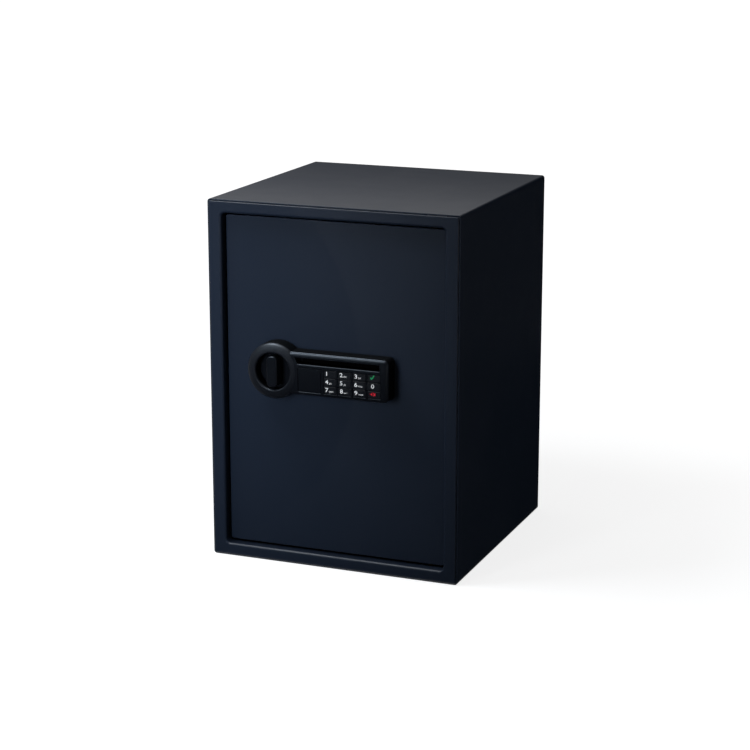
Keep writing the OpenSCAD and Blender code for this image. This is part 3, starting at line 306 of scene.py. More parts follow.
FINISHES = {
    powder_coat: ["body_wrap", "front_frame", "rear_panel", "shelf_rests", "shelf", "door_plate", "door_pan",
                  "inner_cover"],
    bracket_zinc: ["upper_hinge_bracket", "lower_hinge_bracket", "spindle_clip", "bolt_bar", "bolt_guides",
                   "bolt_clips", "solenoid_plunger"],
    zinc_plate: ["hinge_pins", "cover_screws", "panel_screws", "emergency_lock_body", "emergency_lock_nut",
                 "emergency_cam", "spindle", "crank", "upper_bolt", "lower_bolt", "solenoid_frame",
                 "solenoid_spring", "battery_contacts"],
    turned_brass: ["emergency_plug", "spindle_bush", "board_standoffs"],
    oiled_brass: ["hinge_washers"],
    black_plastic: ["lock_panel", "cover_plate", "knob", "battery_box", "battery_cover", "reset_switch",
                    "keypad_cable"],
    key_plastic: [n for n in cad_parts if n.startswith("key_")],
    pad_rubber: ["keypad_mat"],
    circuit_board: ["keypad_board", "control_board"],
    battery_wrap: ["batteries"],
    red_button: ["reset_button", "solenoid_lead", "battery_lead"],
    coil_copper: ["solenoid_coil"],
    felt: ["floor_mat"],
}
for material, names in FINISHES.items():
    for name in names:
        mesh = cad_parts[name].data
        mesh.materials.clear()
        mesh.materials.append(material)


# Shaping

def parts_of(things, kind):
    """The edges or verts of a row of mesh parts, each once and in the same order each run."""
    return list(dict.fromkeys(part for thing in things for part in getattr(thing, kind)))


def around(x, z, half_width, half_height):
    """The outline of a rectangle with its middle at x and z."""
    return x - half_width, z - half_height, x + half_width, z + half_height


def corner_loop(bm, outline, inset, r, y, steps=6):
    """A rectangle with round corners, inset from an outline at depth y, as one closed loop of edges."""
    x0, z0, x1, z1 = outline[0] + inset, outline[1] + inset, outline[2] - inset, outline[3] - inset
    made = bmesh.ops.create_circle(bm, segments=4 * steps, radius=1.0)["verts"]
    for v in made:
        order = round(math.atan2(v.co.y, v.co.x) % math.tau / math.tau * 4 * steps) % (4 * steps)
        quarter, step = divmod(order, steps)
        turn = math.radians(90) * (quarter + step / (steps - 1))
        across = x1 - r if quarter in (0, 3) else x0 + r
        up = z1 - r if quarter in (0, 1) else z0 + r
        v.co = place(across + r * math.cos(turn), y, up + r * math.sin(turn))
    return parts_of(made, "link_edges")


def skin(bm, loops, closed=False):
    """Joins loops one after another; fills the first and last, or joins these too."""
    for near, far in zip(loops, loops[1:] + (loops[:1] if closed else [])):
        # Loops in one plane would be joined the wrong way round, so one steps away meanwhile.
        ends = parts_of(far, "verts")
        bmesh.ops.translate(bm, vec=(0, 1, 0), verts=ends)
        bmesh.ops.bridge_loops(bm, edges=near + far)
        bmesh.ops.translate(bm, vec=(0, -1, 0), verts=ends)
    if not closed:
        bmesh.ops.edgeloop_fill(bm, edges=loops[0])
        bmesh.ops.edgeloop_fill(bm, edges=loops[-1])


def quarter_round(count=4):
    """Sine and cosine of the steps round a quarter turn."""
    turns = [math.radians(90) * k / count for k in range(count + 1)]
    return [(math.sin(turn), math.cos(turn)) for turn in turns]


def cushion_block(bm, outline, r, y0, y1, edge, rear=0.0, steps=6, rounds=4):
    """A block with round corners, its front edges rounded by edge and its rear ones by rear."""
    loops = []
    for s, c in quarter_round(rounds):
        i = edge * (1 - s)
        loops.append(corner_loop(bm, outline, i, max(r - i, SHARP_CORNER), y0 + edge * (1 - c), steps))
    for s, c in reversed(quarter_round(rounds if rear else 1)):
        i = rear * (1 - s)
        if rear or s == 1:
            loops.append(corner_loop(bm, outline, i, max(r - i, SHARP_CORNER), y1 - rear * (1 - c), steps))
    skin(bm, loops)


def opening(bm, outline, r, y1, edge):
    """A cutter for an opening in the panel's face, whose mouth it rounds by edge."""
    loops = [corner_loop(bm, outline, -edge, r + edge, PANEL_FACE - 1.5, 4)]
    for s, c in quarter_round():
        wider = edge * (1 - s)
        loops.append(corner_loop(bm, outline, -wider, r + wider, PANEL_FACE + edge * (1 - c), 4))
    loops.append(corner_loop(bm, outline, 0.0, r, y1, 4))
    skin(bm, loops)


def arc(r0, y0, radius, start, end, count=5):
    """Points of a round on a turned profile, from one angle to another in degrees."""
    steps = [math.radians(start + (end - start) * k / count) for k in range(count + 1)]
    return [(r0 + radius * math.cos(a), y0 + radius * math.sin(a)) for a in steps]


def turned(bm, profile, x, y, z, steps, along="Y", closed=False):
    """Spins a profile of radius and reach round an axis through a place, running along +X, +Y or +Z."""
    old = set(bm.verts)
    verts = [bm.verts.new((r * MM, 0.0, reach * MM)) for r, reach in profile]
    edges = [bm.edges.new(pair) for pair in zip(verts, verts[1:] + (verts[:1] if closed else []))]
    bmesh.ops.spin(bm, geom=verts + edges, cent=(0, 0, 0), axis=(0, 0, 1), angle=math.tau, steps=steps,
                   use_merge=True)
    turn = {"X": Matrix.Rotation(math.radians(90), 4, "Y"), "Y": Matrix.Rotation(math.radians(-90), 4, "X"),
            "Z": Matrix.Identity(4)}[along]
    new = [v for v in bm.verts if v not in old]
    bmesh.ops.transform(bm, matrix=Matrix.Translation(place(x, y, z)) @ turn, verts=new)


def rod(bm, x, y, z, r, reach, along="Y", steps=32):
    """A plain round bar that starts at a place, used for holes."""
    turned(bm, [(0, 0), (r, 0), (r, reach), (0, reach)], x, y, z, steps, along)


def slab(bm, low, high, edge=0.0):
    """A box between two corners, with all its edges bevelled where edge says so."""
    made = bmesh.ops.create_cube(bm, size=1.0)["verts"]
    p, q = place(*low), place(*high)
    bmesh.ops.scale(bm, vec=q - p, verts=made)
    bmesh.ops.translate(bm, vec=(p + q) / 2, verts=made)
    if edge:
        bmesh.ops.bevel(bm, geom=parts_of(made, "link_edges"), offset=edge * MM, segments=2, profile=0.5,
                        affect="EDGES", material=-1)


def drawn(bm, outline, reach):
    """A flat outline of places, drawn out by reach in millimetres."""
    verts = [bm.verts.new(place(*spot)) for spot in outline]
    edges = [bm.edges.new(pair) for pair in zip(verts, verts[1:] + verts[:1])]
    face = bmesh.ops.edgeloop_fill(bm, edges=edges)["faces"]
    grown = bmesh.ops.extrude_face_region(bm, geom=face, use_keep_orig=True)["geom"]
    far = [g for g in grown if isinstance(g, bmesh.types.BMVert)]
    bmesh.ops.translate(bm, vec=Vector(reach) * MM, verts=far)


def rough_piece(name, bm):
    """The bmesh as an object, closed and facing outwards."""
    bmesh.ops.remove_doubles(bm, verts=bm.verts, dist=1e-6)
    bmesh.ops.recalc_face_normals(bm, faces=bm.faces)
    mesh = bpy.data.meshes.new(name)
    bm.to_mesh(mesh)
    bm.free()
    made = bpy.data.objects.new(name, mesh)
    scene.collection.objects.link(made)
    return made


def back_to_bmesh(piece):
    """A piece's mesh as a bmesh again."""
    bm = bmesh.new()
    bm.from_mesh(piece.data)
    return bm


def clear_away(piece):
    """Takes a helper piece and its mesh out of the scene."""
    mesh = piece.data
    bpy.data.objects.remove(piece)
    bpy.data.meshes.remove(mesh)


def settle(piece):
    """Turns a piece's modifiers into its mesh."""
    graph = bpy.context.evaluated_depsgraph_get()
    done = bpy.data.meshes.new_from_object(piece.evaluated_get(graph))
    piece.modifiers.clear()
    old, piece.data = piece.data, done
    bpy.data.meshes.remove(old)


def carve(piece, bm, how="DIFFERENCE"):
    """Cuts the bmesh's shape out of a piece."""
    tool = rough_piece("tool", bm)
    cut = piece.modifiers.new("cut", "BOOLEAN")
    cut.operation, cut.solver, cut.object, cut.use_self = how, "EXACT", tool, True
    settle(piece)
    clear_away(tool)


def weld(piece, bm):
    """Joins the bmesh's shape onto a piece."""
    carve(piece, bm, "UNION")


def soften(piece, width, segments):
    """Breaks a piece's sharp edges."""
    bevel = piece.modifiers.new("soft_edges", "BEVEL")
    bevel.width, bevel.segments, bevel.limit_method = width * MM, segments, "ANGLE"
    bevel.angle_limit = math.radians(60)
    bevel.miter_outer = "MITER_ARC"
    settle(piece)


def crown(piece):
    """Bows the front of a piece back towards the top and bottom of the lock panel, as the panel's face is."""
    bm = back_to_bmesh(piece)
    bmesh.ops.triangulate(bm, faces=bm.faces)
    for k in range(-14, 15):
        bmesh.ops.bisect_plane(bm, geom=bm.verts[:] + bm.edges[:] + bm.faces[:],
                               plane_co=place(0, 0, KNOB_Z + 2 * k + 0.3), plane_no=(0, 0, 1), dist=1e-6)
    for v in bm.verts:
        front = min(max((BOW_START - (v.co.y / MM + ORIGIN_Y)) / BOW_OVER, 0.0), 1.0)
        v.co.y += front * (v.co.z / MM - KNOB_Z) ** 2 / BOW * MM
    bm.to_mesh(piece.data)
    bm.free()
    return piece


def paint_side_shade(piece, face_finish):
    """Gives a panel piece its face finish, and painted shade to the sides behind its rounded edge: a darker,
    duller copy of its plastic.
    """
    mesh = piece.data
    for finish_of_part in (face_finish, painted_shade_plastic):
        mesh.materials.append(finish_of_part)
    for side in mesh.polygons:
        behind = side.center.y / MM + ORIGIN_Y > SIDE_START
        side.material_index = int(behind and abs(side.normal.y) < SIDE_TILT)
    return piece


def fit(piece, finish_of_piece, body, *nodes, slot=None, sharp=48):
    """Shades a piece, gives it its finish if it has none, and sets it on its body in place of its nodes."""
    mesh = piece.data
    mesh.polygons.foreach_set("use_smooth", [True] * len(mesh.polygons))
    mesh.set_sharp_from_angle(angle=math.radians(sharp))
    flat = piece.modifiers.new("flat_faces", "WEIGHTED_NORMAL")
    flat.keep_sharp = True
    settle(piece)
    if finish_of_piece:
        piece.data.materials.append(finish_of_piece)
    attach(piece, body)
    if nodes:
        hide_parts(*nodes)


# The shell

def make_wrap():
    """Top, sides and floor, folded from one sheet, with anchor holes in the floor."""
    bm = bmesh.new()
    outer = [(0.5, 2.1), (0.15, 2.25), (0.0, 2.6), (0.0, 359.2), (0.25, 359.75), (0.8, 360.0)]
    inner = [(1.8, 360.0), (2.0, 359.8), (2.0, 2.4), (1.8, 2.1)]
    skin(bm, [corner_loop(bm, SHELL, i, SHELL_CORNER - i, y, 8) for i, y in outer + inner], closed=True)
    wrap = rough_piece("steel_wrap", bm)
    holes = bmesh.new()
    for x in ANCHORS_X:
        rod(holes, x, ANCHOR_Y, -1, ANCHOR_R, 4, "Z", 40)
    carve(wrap, holes)
    fit(wrap, powder_coat, "body", "body_wrap", slot="black_steel")


def make_front_frame():
    """The frame in front of the wrap, with its lip rolled back round the mouth."""
    bm = bmesh.new()
    loops = []

    def outside(i, y):
        i += FRAME_INSET
        loops.append(corner_loop(bm, SHELL, i, max(SHELL_CORNER - i, SHARP_CORNER), y, 8))

    def lip(wider, y):
        loops.append(corner_loop(bm, MOUTH, -wider, MOUTH_CORNER + wider, y, 8))

    outside(0.3, 2.05)
    outside(0.0, 1.8)
    for s, c in reversed(quarter_round(5)):
        outside(EDGE_ROLL * (1 - s), EDGE_ROLL * (1 - c))
    for s, c in quarter_round(8):
        lip(LIP_ROLL * (1 - s), LIP_ROLL * (1 - c))
    lip(0.0, 15.7)
    lip(0.3, 16.0)
    lip(2.0, 16.0)
    for s, c in reversed(quarter_round(4)):
        lip(LIP_ROLL - LIP_INSIDE * s, LIP_ROLL - LIP_INSIDE * c)
    skin(bm, loops, closed=True)
    fit(rough_piece("front_frame_folded", bm), powder_coat, "body", "front_frame", slot="black_steel")


def make_rear_panel():
    """The sheet that closes the back, with its anchor holes."""
    bm = bmesh.new()
    cushion_block(bm, (2, 2, 358, 498), 2, 358, 359.7, 0.3, rear=0.5)
    back = rough_piece("rear_sheet", bm)
    holes = bmesh.new()
    for x in ANCHORS_X:
        rod(holes, x, 356, ANCHOR_Z, ANCHOR_R, 6, "Y", 40)
    carve(back, holes)
    fit(back, powder_coat, "body", "rear_panel", slot="black_steel")


# The door

def make_door_plate():
    """The door's face, with holes for what passes from the lock panel through it."""
    bm = bmesh.new()
    cushion_block(bm, DOOR_FACE, 3.5, 12, 15, 0.9, rear=0.4, steps=8)
    plate = rough_piece("door_face", bm)
    holes = bmesh.new()
    start, through = 10, 8
    rod(holes, KNOB_X, start, KNOB_Z, 7.52, through)
    rod(holes, PLATE_X, start, KEYS_Z, BARREL_HOLE_R, through)
    rod(holes, KEYS_X + 1.5 * PITCH_X, start, KEYS_Z, 5.0, through)
    for x, z in PANEL_POSTS:
        rod(holes, x, start, z, 2.2, through)
    carve(plate, holes)
    fit(plate, powder_coat, "door", "door_plate", slot="black_steel")


def make_door_pan():
    """The folded tray behind the face, with a boss at each hinge pin and holes for pins and bolts."""
    bm = bmesh.new()
    loops = []
    corner, sheet, flange = 3.0, 1.5, 14.0

    def wall(i, y):
        r = max(corner - i, 0.4) if i < 5 else corner
        loops.append(corner_loop(bm, DOOR_TRAY, i, r, y, 6))

    wall(0.0, 15.0)
    for s, c in quarter_round(4):
        wall(1.8 * (1 - c), 48.2 + 1.8 * s)
    wall(flange - 0.3, 50.0)
    wall(flange, 49.7)
    wall(flange, 48.5)
    wall(sheet + 0.6, 48.5)
    wall(sheet, 47.9)
    wall(sheet, 15.0)
    skin(bm, loops, closed=True)
    pan = rough_piece("door_tray", bm)
    bosses = bmesh.new()
    slab(bosses, (311.5, 15, 469.4), (323.5, 27, 476.6))
    slab(bosses, (311.5, 15, 23.4), (323.5, 27, 30.6))
    weld(pan, bosses)
    holes = bmesh.new()
    for z in BOLTS.values():
        rod(holes, 20, BOLT_Y, z, BOLT_HOLE_R, 8, "X")
    for z in (460, 10):
        rod(holes, HINGE_X, HINGE_Y, z, HINGE_HOLE_R, 30, "Z")
    carve(pan, holes)
    fit(pan, powder_coat, "door", "door_pan", slot="black_steel")


def make_inner_cover():
    """The sheet behind the lock works, open for the battery box, the reset button and its screws."""
    bm = bmesh.new()
    cushion_block(bm, INNER_COVER, 5, 50.05, 51.2, 0.2, rear=0.5)
    cover = rough_piece("door_inner_cover", bm)
    front, through = 48, 5
    holes = bmesh.new()
    slab(holes, (199.98, front, 164.98), (268.02, front + through, 228.52))
    for x, z in COVER_SCREWS:
        rod(holes, x, front, z, 2.1, through)
    rod(holes, RESET_X, front, RESET_Z, 4.35, through)
    carve(cover, holes)
    fit(cover, powder_coat, "door", "inner_cover", slot="black_steel")


def make_cover_screws():
    """Six domed screws with a cross in their heads: one is made, and the others are its copies."""
    bm = bmesh.new()
    head = [(0, 45.0), (1.5, 45.0), (1.9, 45.6), (1.9, 51.2), (3.6, 51.2), (3.6, 51.8)]
    head += arc(2.2, 51.8, 1.4, 0, 90, 4) + [(0, 53.2)]
    turned(bm, head, 0, 0, 0, 32)
    screw = rough_piece("cover_screws_cross_head", bm)
    cross = bmesh.new()
    slab(cross, (-2.1, 52.2, -0.45), (2.1, 54, 0.45))
    slab(cross, (-0.45, 52.1, -2.1), (0.45, 54, 2.1))
    carve(screw, cross)
    bm = back_to_bmesh(screw)
    one = list(bm.verts) + list(bm.edges) + list(bm.faces)
    first_x, first_z = COVER_SCREWS[0]
    for x, z in COVER_SCREWS[1:]:
        copy = bmesh.ops.duplicate(bm, geom=one)["geom"]
        shift = place(x, 0, z) - place(first_x, 0, first_z)
        bmesh.ops.translate(bm, vec=shift, verts=[g for g in copy if isinstance(g, bmesh.types.BMVert)])
    bmesh.ops.translate(bm, vec=place(first_x, 0, first_z) - place(0, 0, 0), verts=bm.verts)
    bm.to_mesh(screw.data)
    bm.free()
    fit(screw, zinc_plate, "door", "cover_screws", slot="zinc", sharp=35)


# The lock panel

def knob_disc(r):
    """A thick disc round the knob's axis, to cut the bar and its slot free of the ring."""
    bm = bmesh.new()
    rod(bm, KNOB_X, -20, KNOB_Z, r, 40, steps=96)
    return bm


def make_panel_bar():
    """The panel's hollow bar, with the finger slot, the cover plate's pocket and the keys' openings."""
    bm = bmesh.new()
    cushion_block(bm, PANEL_BAR, 6.5, PANEL_FACE, PANEL_BACK, 4.6, steps=10, rounds=8)
    bar = rough_piece("panel_bar", bm)
    hollow = bmesh.new()
    cushion_block(hollow, (100, 247.5, 263.5, 300.5), 4, -9.0, 14, 3.0)
    carve(bar, hollow)
    sleeve = bmesh.new()
    slab(sleeve, (126, -10.5, 286.0), (255.1, 2.5, 297.3))
    weld(bar, sleeve)
    carve(bar, knob_disc(28.8))
    bm = bmesh.new()
    opening(bm, FINGER_SLOT, 0.6, 1, 1.0)
    slot_tool = rough_piece("slot_tool", bm)
    carve(slot_tool, knob_disc(38.4))
    carve(bar, back_to_bmesh(slot_tool))
    clear_away(slot_tool)
    pocket = bmesh.new()
    opening(pocket, around(PLATE_X, KEYS_Z, 16.8, 16.8), 1.0, -10.3, 0.8)
    carve(bar, pocket)
    key_openings = bmesh.new()
    for column in range(4):
        opening(key_openings, around(KEYS_X + column * PITCH_X, KEYS_Z, 9.5, 16.75), 0.6, -8.0, 0.4)
    carve(bar, key_openings)
    bore = bmesh.new()
    rod(bore, PLATE_X, -14, KEYS_Z, BARREL_HOLE_R, 30)
    carve(bar, bore)
    fit(paint_side_shade(crown(bar), black_plastic), None, "door", "lock_panel", slot="panel_plastic")


def make_slot_shade():
    """A near-black matt sheet inside the finger slot: painted shade where the slot lies in shadow."""
    bm = bmesh.new()
    slab(bm, (138.2, -11.2, 287.55), (253.55, 0.95, 295.75))
    shade_sheet = rough_piece("slot_painted_shade", bm)
    inside = bmesh.new()
    slab(inside, (137.9, -14, 287.9), (253.2, 0.6, 295.4))
    carve(shade_sheet, inside)
    fit(crown(shade_sheet), painted_shade_black, "door", slot="panel_plastic")


def make_panel_ring():
    """The domed ring round the knob, hollow at the back."""
    bm = bmesh.new()
    dome = [(38.7, 12.0), (38.7, -6.8), (38.45, -8.3), (37.9, -9.6), (37.0, -10.75), (35.8, -11.7),
            (34.2, -12.5), (32.3, -13.1), (30.3, -13.55), (28.6, -13.84), (27.5, -13.98)]
    dome += arc(27.5, -11.7, 2.28, -100, -180, 6) + [(25.22, -10.0), (26.0, -9.0), (26.0, 12.0)]
    back = [(28.5, 12.0), (28.5, -9.0), (33.2, -9.0), (34.6, -7.8), (35.0, 12.0)]
    turned(bm, dome + back, KNOB_X, 0, KNOB_Z, 144, closed=True)
    # The ring's face takes the lighter plastic, painted light, and its sides painted shade.
    ring = paint_side_shade(rough_piece("panel_ring", bm), lit_ring_plastic)
    fit(ring, None, "door", "lock_panel", slot="panel_plastic")


def make_cover_plate():
    """The plate that hides the emergency lock."""
    bm = bmesh.new()
    outline = around(PLATE_X, KEYS_Z, 16.25, 16.25)
    cushion_block(bm, outline, 1.0, -12.6, -10.6, 0.35, rear=0.1, steps=4, rounds=3)
    plate = crown(rough_piece("lock_cover_plate", bm))
    fit(plate, black_plastic, "lock_cover", "cover_plate", slot="panel_plastic")


def make_knob():
    """The knob's round base with its thumb bar."""
    bm = bmesh.new()
    disc = [(0, 2.4), (18.0, 2.4), (22.6, 2.0)] + arc(24.4, 3.0, 1.0, -90, 0, 4)
    disc += [(25.4, 9.0), (8.0, 9.0), (8.0, 11.7), (0, 11.7)]
    turned(bm, disc, KNOB_X, 0, KNOB_Z, 96)
    cushion_block(bm, (92.5, 252.75, 107.5, 295.25), 6.0, -17, 4.0, 1.8, steps=8, rounds=5)
    fit(rough_piece("thumb_knob", bm), black_plastic, "knob_turner", "knob", slot="panel_plastic")


# The keys: column, row, figure and letters of each.
KEYS = {
    "1": (0, 0, "1", ""), "2": (1, 0, "2", "abc"), "3": (2, 0, "3", "def"), "enter": (3, 0, "", ""),
    "4": (0, 1, "4", "ghi"), "5": (1, 1, "5", "jkl"), "6": (2, 1, "6", "mno"), "0": (3, 1, "0", ""),
    "7": (0, 2, "7", "pqrs"), "8": (1, 2, "8", "tuv"), "9": (2, 2, "9", "wxyz"), "clear": (3, 2, "", ""),
}


def key_middle(column, row):
    """The x and z of a key's middle."""
    return KEYS_X + column * PITCH_X, KEYS_Z + (1 - row) * PITCH_Z


def printed(name, words, x, base, size, weight, middle=False, broad=1.0):
    """Printed figures on a base line: they start at x, or have their middle there, drawn out broad."""
    curve = bpy.data.curves.new(name, "FONT")
    curve.body, curve.size, curve.offset, curve.extrude = words, 1.0, weight, 0.01
    curve.resolution_u = 6
    text = bpy.data.objects.new(name, curve)
    scene.collection.objects.link(text)
    bpy.context.view_layer.update()
    mesh = bpy.data.meshes.new_from_object(text.evaluated_get(bpy.context.evaluated_depsgraph_get()))
    bpy.data.objects.remove(text)
    bpy.data.curves.remove(curve)
    bm = bmesh.new()
    bm.from_mesh(mesh)
    bpy.data.meshes.remove(mesh)
    across = [v.co.x for v in bm.verts]
    start = (min(across) + max(across)) / 2 if middle else min(across)
    for v in bm.verts:
        depth = INK_FRONT if v.co.z > 0 else INK_BACK
        v.co = place(x + (v.co.x - start) * size * broad, depth, base + v.co.y * size)
    return rough_piece(name, bm)


def ink_shape(x, z, outline):
    """A flat printed mark round a place on a key, as a bmesh."""
    bm = bmesh.new()
    drawn(bm, [(x + a, INK_FRONT, z + b) for a, b in outline], (0, INK_BACK - INK_FRONT, 0))
    return bm


def make_keys():
    """Twelve caps with what is printed on them, each on its own body."""
    base = -2.0
    for key, (column, row, figure, letters) in KEYS.items():
        x, z = key_middle(column, row)
        body = "key_" + key + "_cap"
        bm = bmesh.new()
        cushion_block(bm, around(x, z, 9.1, 5.15), 0.8, KEY_FACE, -8.4, 0.45, steps=4, rounds=3)
        slab(bm, (x - 10.0, -9.15, z - 4.15), (x + 10.0, -8.0, z + 4.15), 0.1)
        fit(crown(rough_piece("key_cap_" + key, bm)), key_plastic, body, "key_" + key, slot="key_plastic")
        if figure:
            across = x - 1.4 if figure == "0" else x - 4.5
            marks = printed("figure_" + key, figure, across, z + base, 8.0, 0.010, middle=True, broad=1.15)
            fit(crown(marks), legend_white, body, sharp=20)
        if letters:
            marks = printed("letters_" + key, letters, x - 1.2, z + base, 3.4, 0.007)
            fit(crown(marks), legend_white, body, sharp=20)

    x, z = key_middle(3, 0)
    tick = [(-3.0, -0.4), (-2.0, 0.4), (-0.9, -1.3), (2.0, 3.5), (2.9, 3.2), (-0.9, -3.1)]
    mark = rough_piece("tick_mark", ink_shape(x - 1.8, z + 1.2, tick))
    fit(crown(mark), legend_green, "key_enter_cap", sharp=20)

    x, z = key_middle(3, 2)
    x, z = x - 1.2, z + 0.9
    arrow_head = [(-4.3, 0.0), (-0.9, 2.3), (-0.9, -2.3)]
    mark = rough_piece("clear_mark", ink_shape(x, z, arrow_head))
    for way in (1, -1):
        stroke = [(-0.5, -1.6 * way), (0.5, -2.3 * way), (3.7, 1.6 * way), (2.7, 2.3 * way)]
        weld(mark, ink_shape(x + 0.3, z, stroke))
    fit(crown(mark), legend_red, "key_clear_cap", sharp=20)


# Emergency lock and bolts

def make_emergency_lock():
    """The barrel behind the cover plate, and the plug with its keyway that turns in it."""
    bm = bmesh.new()
    barrel = [(6.56, -9.1), (8.9, -9.1), (9.5, -8.5), (9.5, 9.5), (12.5, 9.5), (12.5, 12.0), (9.5, 12.0),
              (9.5, 25.0), (6.56, 25.0)]
    turned(bm, barrel, PLATE_X, 0, KEYS_Z, 64, closed=True)
    fit(rough_piece("lock_barrel", bm), zinc_plate, "door", "emergency_lock_body", slot="zinc", sharp=30)
    bm = bmesh.new()
    turned(bm, [(0, -9.5), (6.1, -9.5), (6.5, -9.1), (6.5, 25.3), (0, 25.3)], PLATE_X, 0, KEYS_Z, 64)
    plug = rough_piece("lock_plug", bm)
    tail = bmesh.new()
    slab(tail, (PLATE_X - 3, 25, KEYS_Z - 3), (PLATE_X + 3, 29, KEYS_Z + 3), 0.2)
    weld(plug, tail)
    keyway = bmesh.new()
    slab(keyway, (PLATE_X - 1, -11, KEYS_Z - 4.2), (PLATE_X + 1, 0.5, KEYS_Z + 4.2))
    slab(keyway, (PLATE_X - 1.9, -11, KEYS_Z + 1.2), (PLATE_X + 1.9, 0.5, KEYS_Z + 2.6))
    carve(plug, keyway)
    fit(plug, turned_brass, "emergency_turner", "emergency_plug", slot="brass", sharp=30)


def make_bolts():
    """Two turned bolts, each with a thinner end that the bolt bar carries."""
    bolt = [(0, 23.5), (7.4, 23.5), (8.0, 23.7), (9.0, 25.0), (9.0, 73.5), (4.0, 73.5), (4.0, 81.1),
            (3.6, 81.5), (0, 81.5)]
    for name, z in BOLTS.items():
        bm = bmesh.new()
        turned(bm, bolt, 0, BOLT_Y, z, 64, "X")
        fit(rough_piece(name + "_turned", bm), zinc_plate, "bolt_works", name, slot="zinc", sharp=30)


# Inside the safe

def make_shelf():
    """A plate whose front and rear edges are folded down."""
    front, rear, top, under, sheet, bend = 62.0, 352.0, 250.0, 233.8, 1.2, 2.0
    inside = bend - sheet
    section = [(front, under), (front, top - bend)]
    section += [(front + bend * (1 - c), top - bend + bend * s) for s, c in quarter_round(4)[1:]]
    section += [(rear - bend + bend * s, top - bend + bend * c) for s, c in quarter_round(4)]
    section += [(rear, under), (rear - sheet, under), (rear - sheet, top - bend)]
    section += [(rear - sheet - inside * (1 - c), top - bend + inside * s) for s, c in quarter_round(2)[1:]]
    section += [(front + sheet + inside * (1 - s), top - bend + inside * c) for s, c in quarter_round(2)]
    section += [(front + sheet, under)]
    bm = bmesh.new()
    drawn(bm, [(3.5, y, z) for y, z in section], (353, 0, 0))
    shelf = rough_piece("folded_shelf", bm)
    soften(shelf, 0.25, 1)
    fit(shelf, powder_coat, "shelf_plate", "shelf", slot="black_steel")


def make_floor_mat():
    """A felt mat with round corners and holes over the anchor holes, laid on the floor of the safe."""
    bm = bmesh.new()
    slab(bm, (5, 40, 2), (355, 355, 4.5))
    corners = [e for e in bm.edges if abs(e.verts[0].co.z - e.verts[1].co.z) > MM]
    bmesh.ops.bevel(bm, geom=corners, offset=6 * MM, segments=6, profile=0.5, affect="EDGES", material=-1)
    mat = rough_piece("felt_mat", bm)
    holes = bmesh.new()
    for x in ANCHORS_X:
        rod(holes, x, ANCHOR_Y, 0, 9.0, 6, "Z", 40)
    carve(mat, holes)
    soften(mat, 0.7, 2)
    fit(mat, felt, "body", "floor_mat", slot="mat_fabric")


def make_battery_box():
    """The well for the batteries, with a rim that lies on the inner cover."""
    bm = bmesh.new()
    loops = [corner_loop(bm, BATTERY_WELL, 0.0, 0.5, y, 4) for y in (33.2, 51.2)]
    rim = [(-3.0, 51.2), (-3.0, 52.0), (-2.9, 52.3), (-2.6, 52.4)]
    well = [(1.7, 52.4), (2.0, 52.1), (2.0, 35.2)]
    for i, y in rim + well:
        loops.append(corner_loop(bm, BATTERY_WELL, i, 1.5 if i < 0 else 0.3, y, 4))
    skin(bm, loops)
    fit(rough_piece("battery_tray", bm), black_plastic, "door", "battery_box", slot="panel_plastic")


def make_battery_lid():
    """The lid of the well, with a grip of six grooves."""
    bm = bmesh.new()
    cushion_block(bm, (202.3, 167.3, 265.7, 226.2), 0.6, 50.4, 52.4, 0.1, rear=0.4, steps=4, rounds=3)
    lid = rough_piece("battery_lid_ribbed", bm)
    grip = bmesh.new()
    for k in range(6):
        z = 212.0 + 2.0 * k
        slab(grip, (222, 51.9, z), (246, 53, z + 1.0))
    carve(lid, grip)
    soften(lid, 0.15, 1)
    fit(lid, black_plastic, "battery_lid", "battery_cover", slot="panel_plastic")


def cell_middle(k):
    """The x of a battery's axis, counted from the left."""
    return CELLS_LEFT + (k + 0.5) * CELL_PITCH


def make_batteries():
    """Four cells, every other one upside down, with steel ends and a brass-coloured band at the plus end."""
    body, nub_r, round_r, rounds_at = 49.3, 2.7, 0.8, 6.45
    upright = [(0, 0), (5.4, 0), (6.2, 0.3)] + arc(rounds_at, 1.1, round_r, -90, 0, 3) + [(7.25, body - 1.6)]
    upright += arc(rounds_at, body - 1.6, round_r, 0, 90, 3) + [(4.6, body - 0.5), (4.2, body), (nub_r, body)]
    upright += [(nub_r, body + 0.9), (2.4, body + 1.2), (0, body + 1.2)]
    upside_down = [(r, CELL_LONG - reach) for r, reach in reversed(upright)]
    bm = bmesh.new()
    for k in range(4):
        turned(bm, upside_down if k % 2 else upright, cell_middle(k), CELL_Y, CELL_LOW, 32, "Z")
    cells = rough_piece("battery_cells", bm)
    for finish_of_part in (battery_wrap, zinc_plate, turned_brass):
        cells.data.materials.append(finish_of_part)
    for face in cells.data.polygons:
        k = int((face.center.x / MM + ORIGIN_X - CELLS_LEFT) // CELL_PITCH)
        reach = (face.center.z - CELL_LOW * MM) / MM
        reach = CELL_LONG - reach if k % 2 else reach
        axis = place(cell_middle(k), CELL_Y, 0)
        radius = math.hypot(face.center.x - axis.x, face.center.y - axis.y)
        if reach < 0.4 or reach > 48.8 or radius < 5.5 * MM:
            face.material_index = 1
        elif reach > 34.0:
            face.material_index = 2
    fit(cells, None, "door", "batteries", slot="battery")


def make_reset_button():
    """The red push button in the inner cover."""
    bm = bmesh.new()
    button = [(0, 48.7), (4.0, 48.7), (4.0, 53.4)] + arc(3.2, 53.4, 0.8, 0, 90, 4) + [(1.5, 54.1), (0, 54.1)]
    turned(bm, button, RESET_X, 0, RESET_Z, 40)
    fit(rough_piece("reset_push", bm), red_button, "button", "reset_button", slot="button_red")


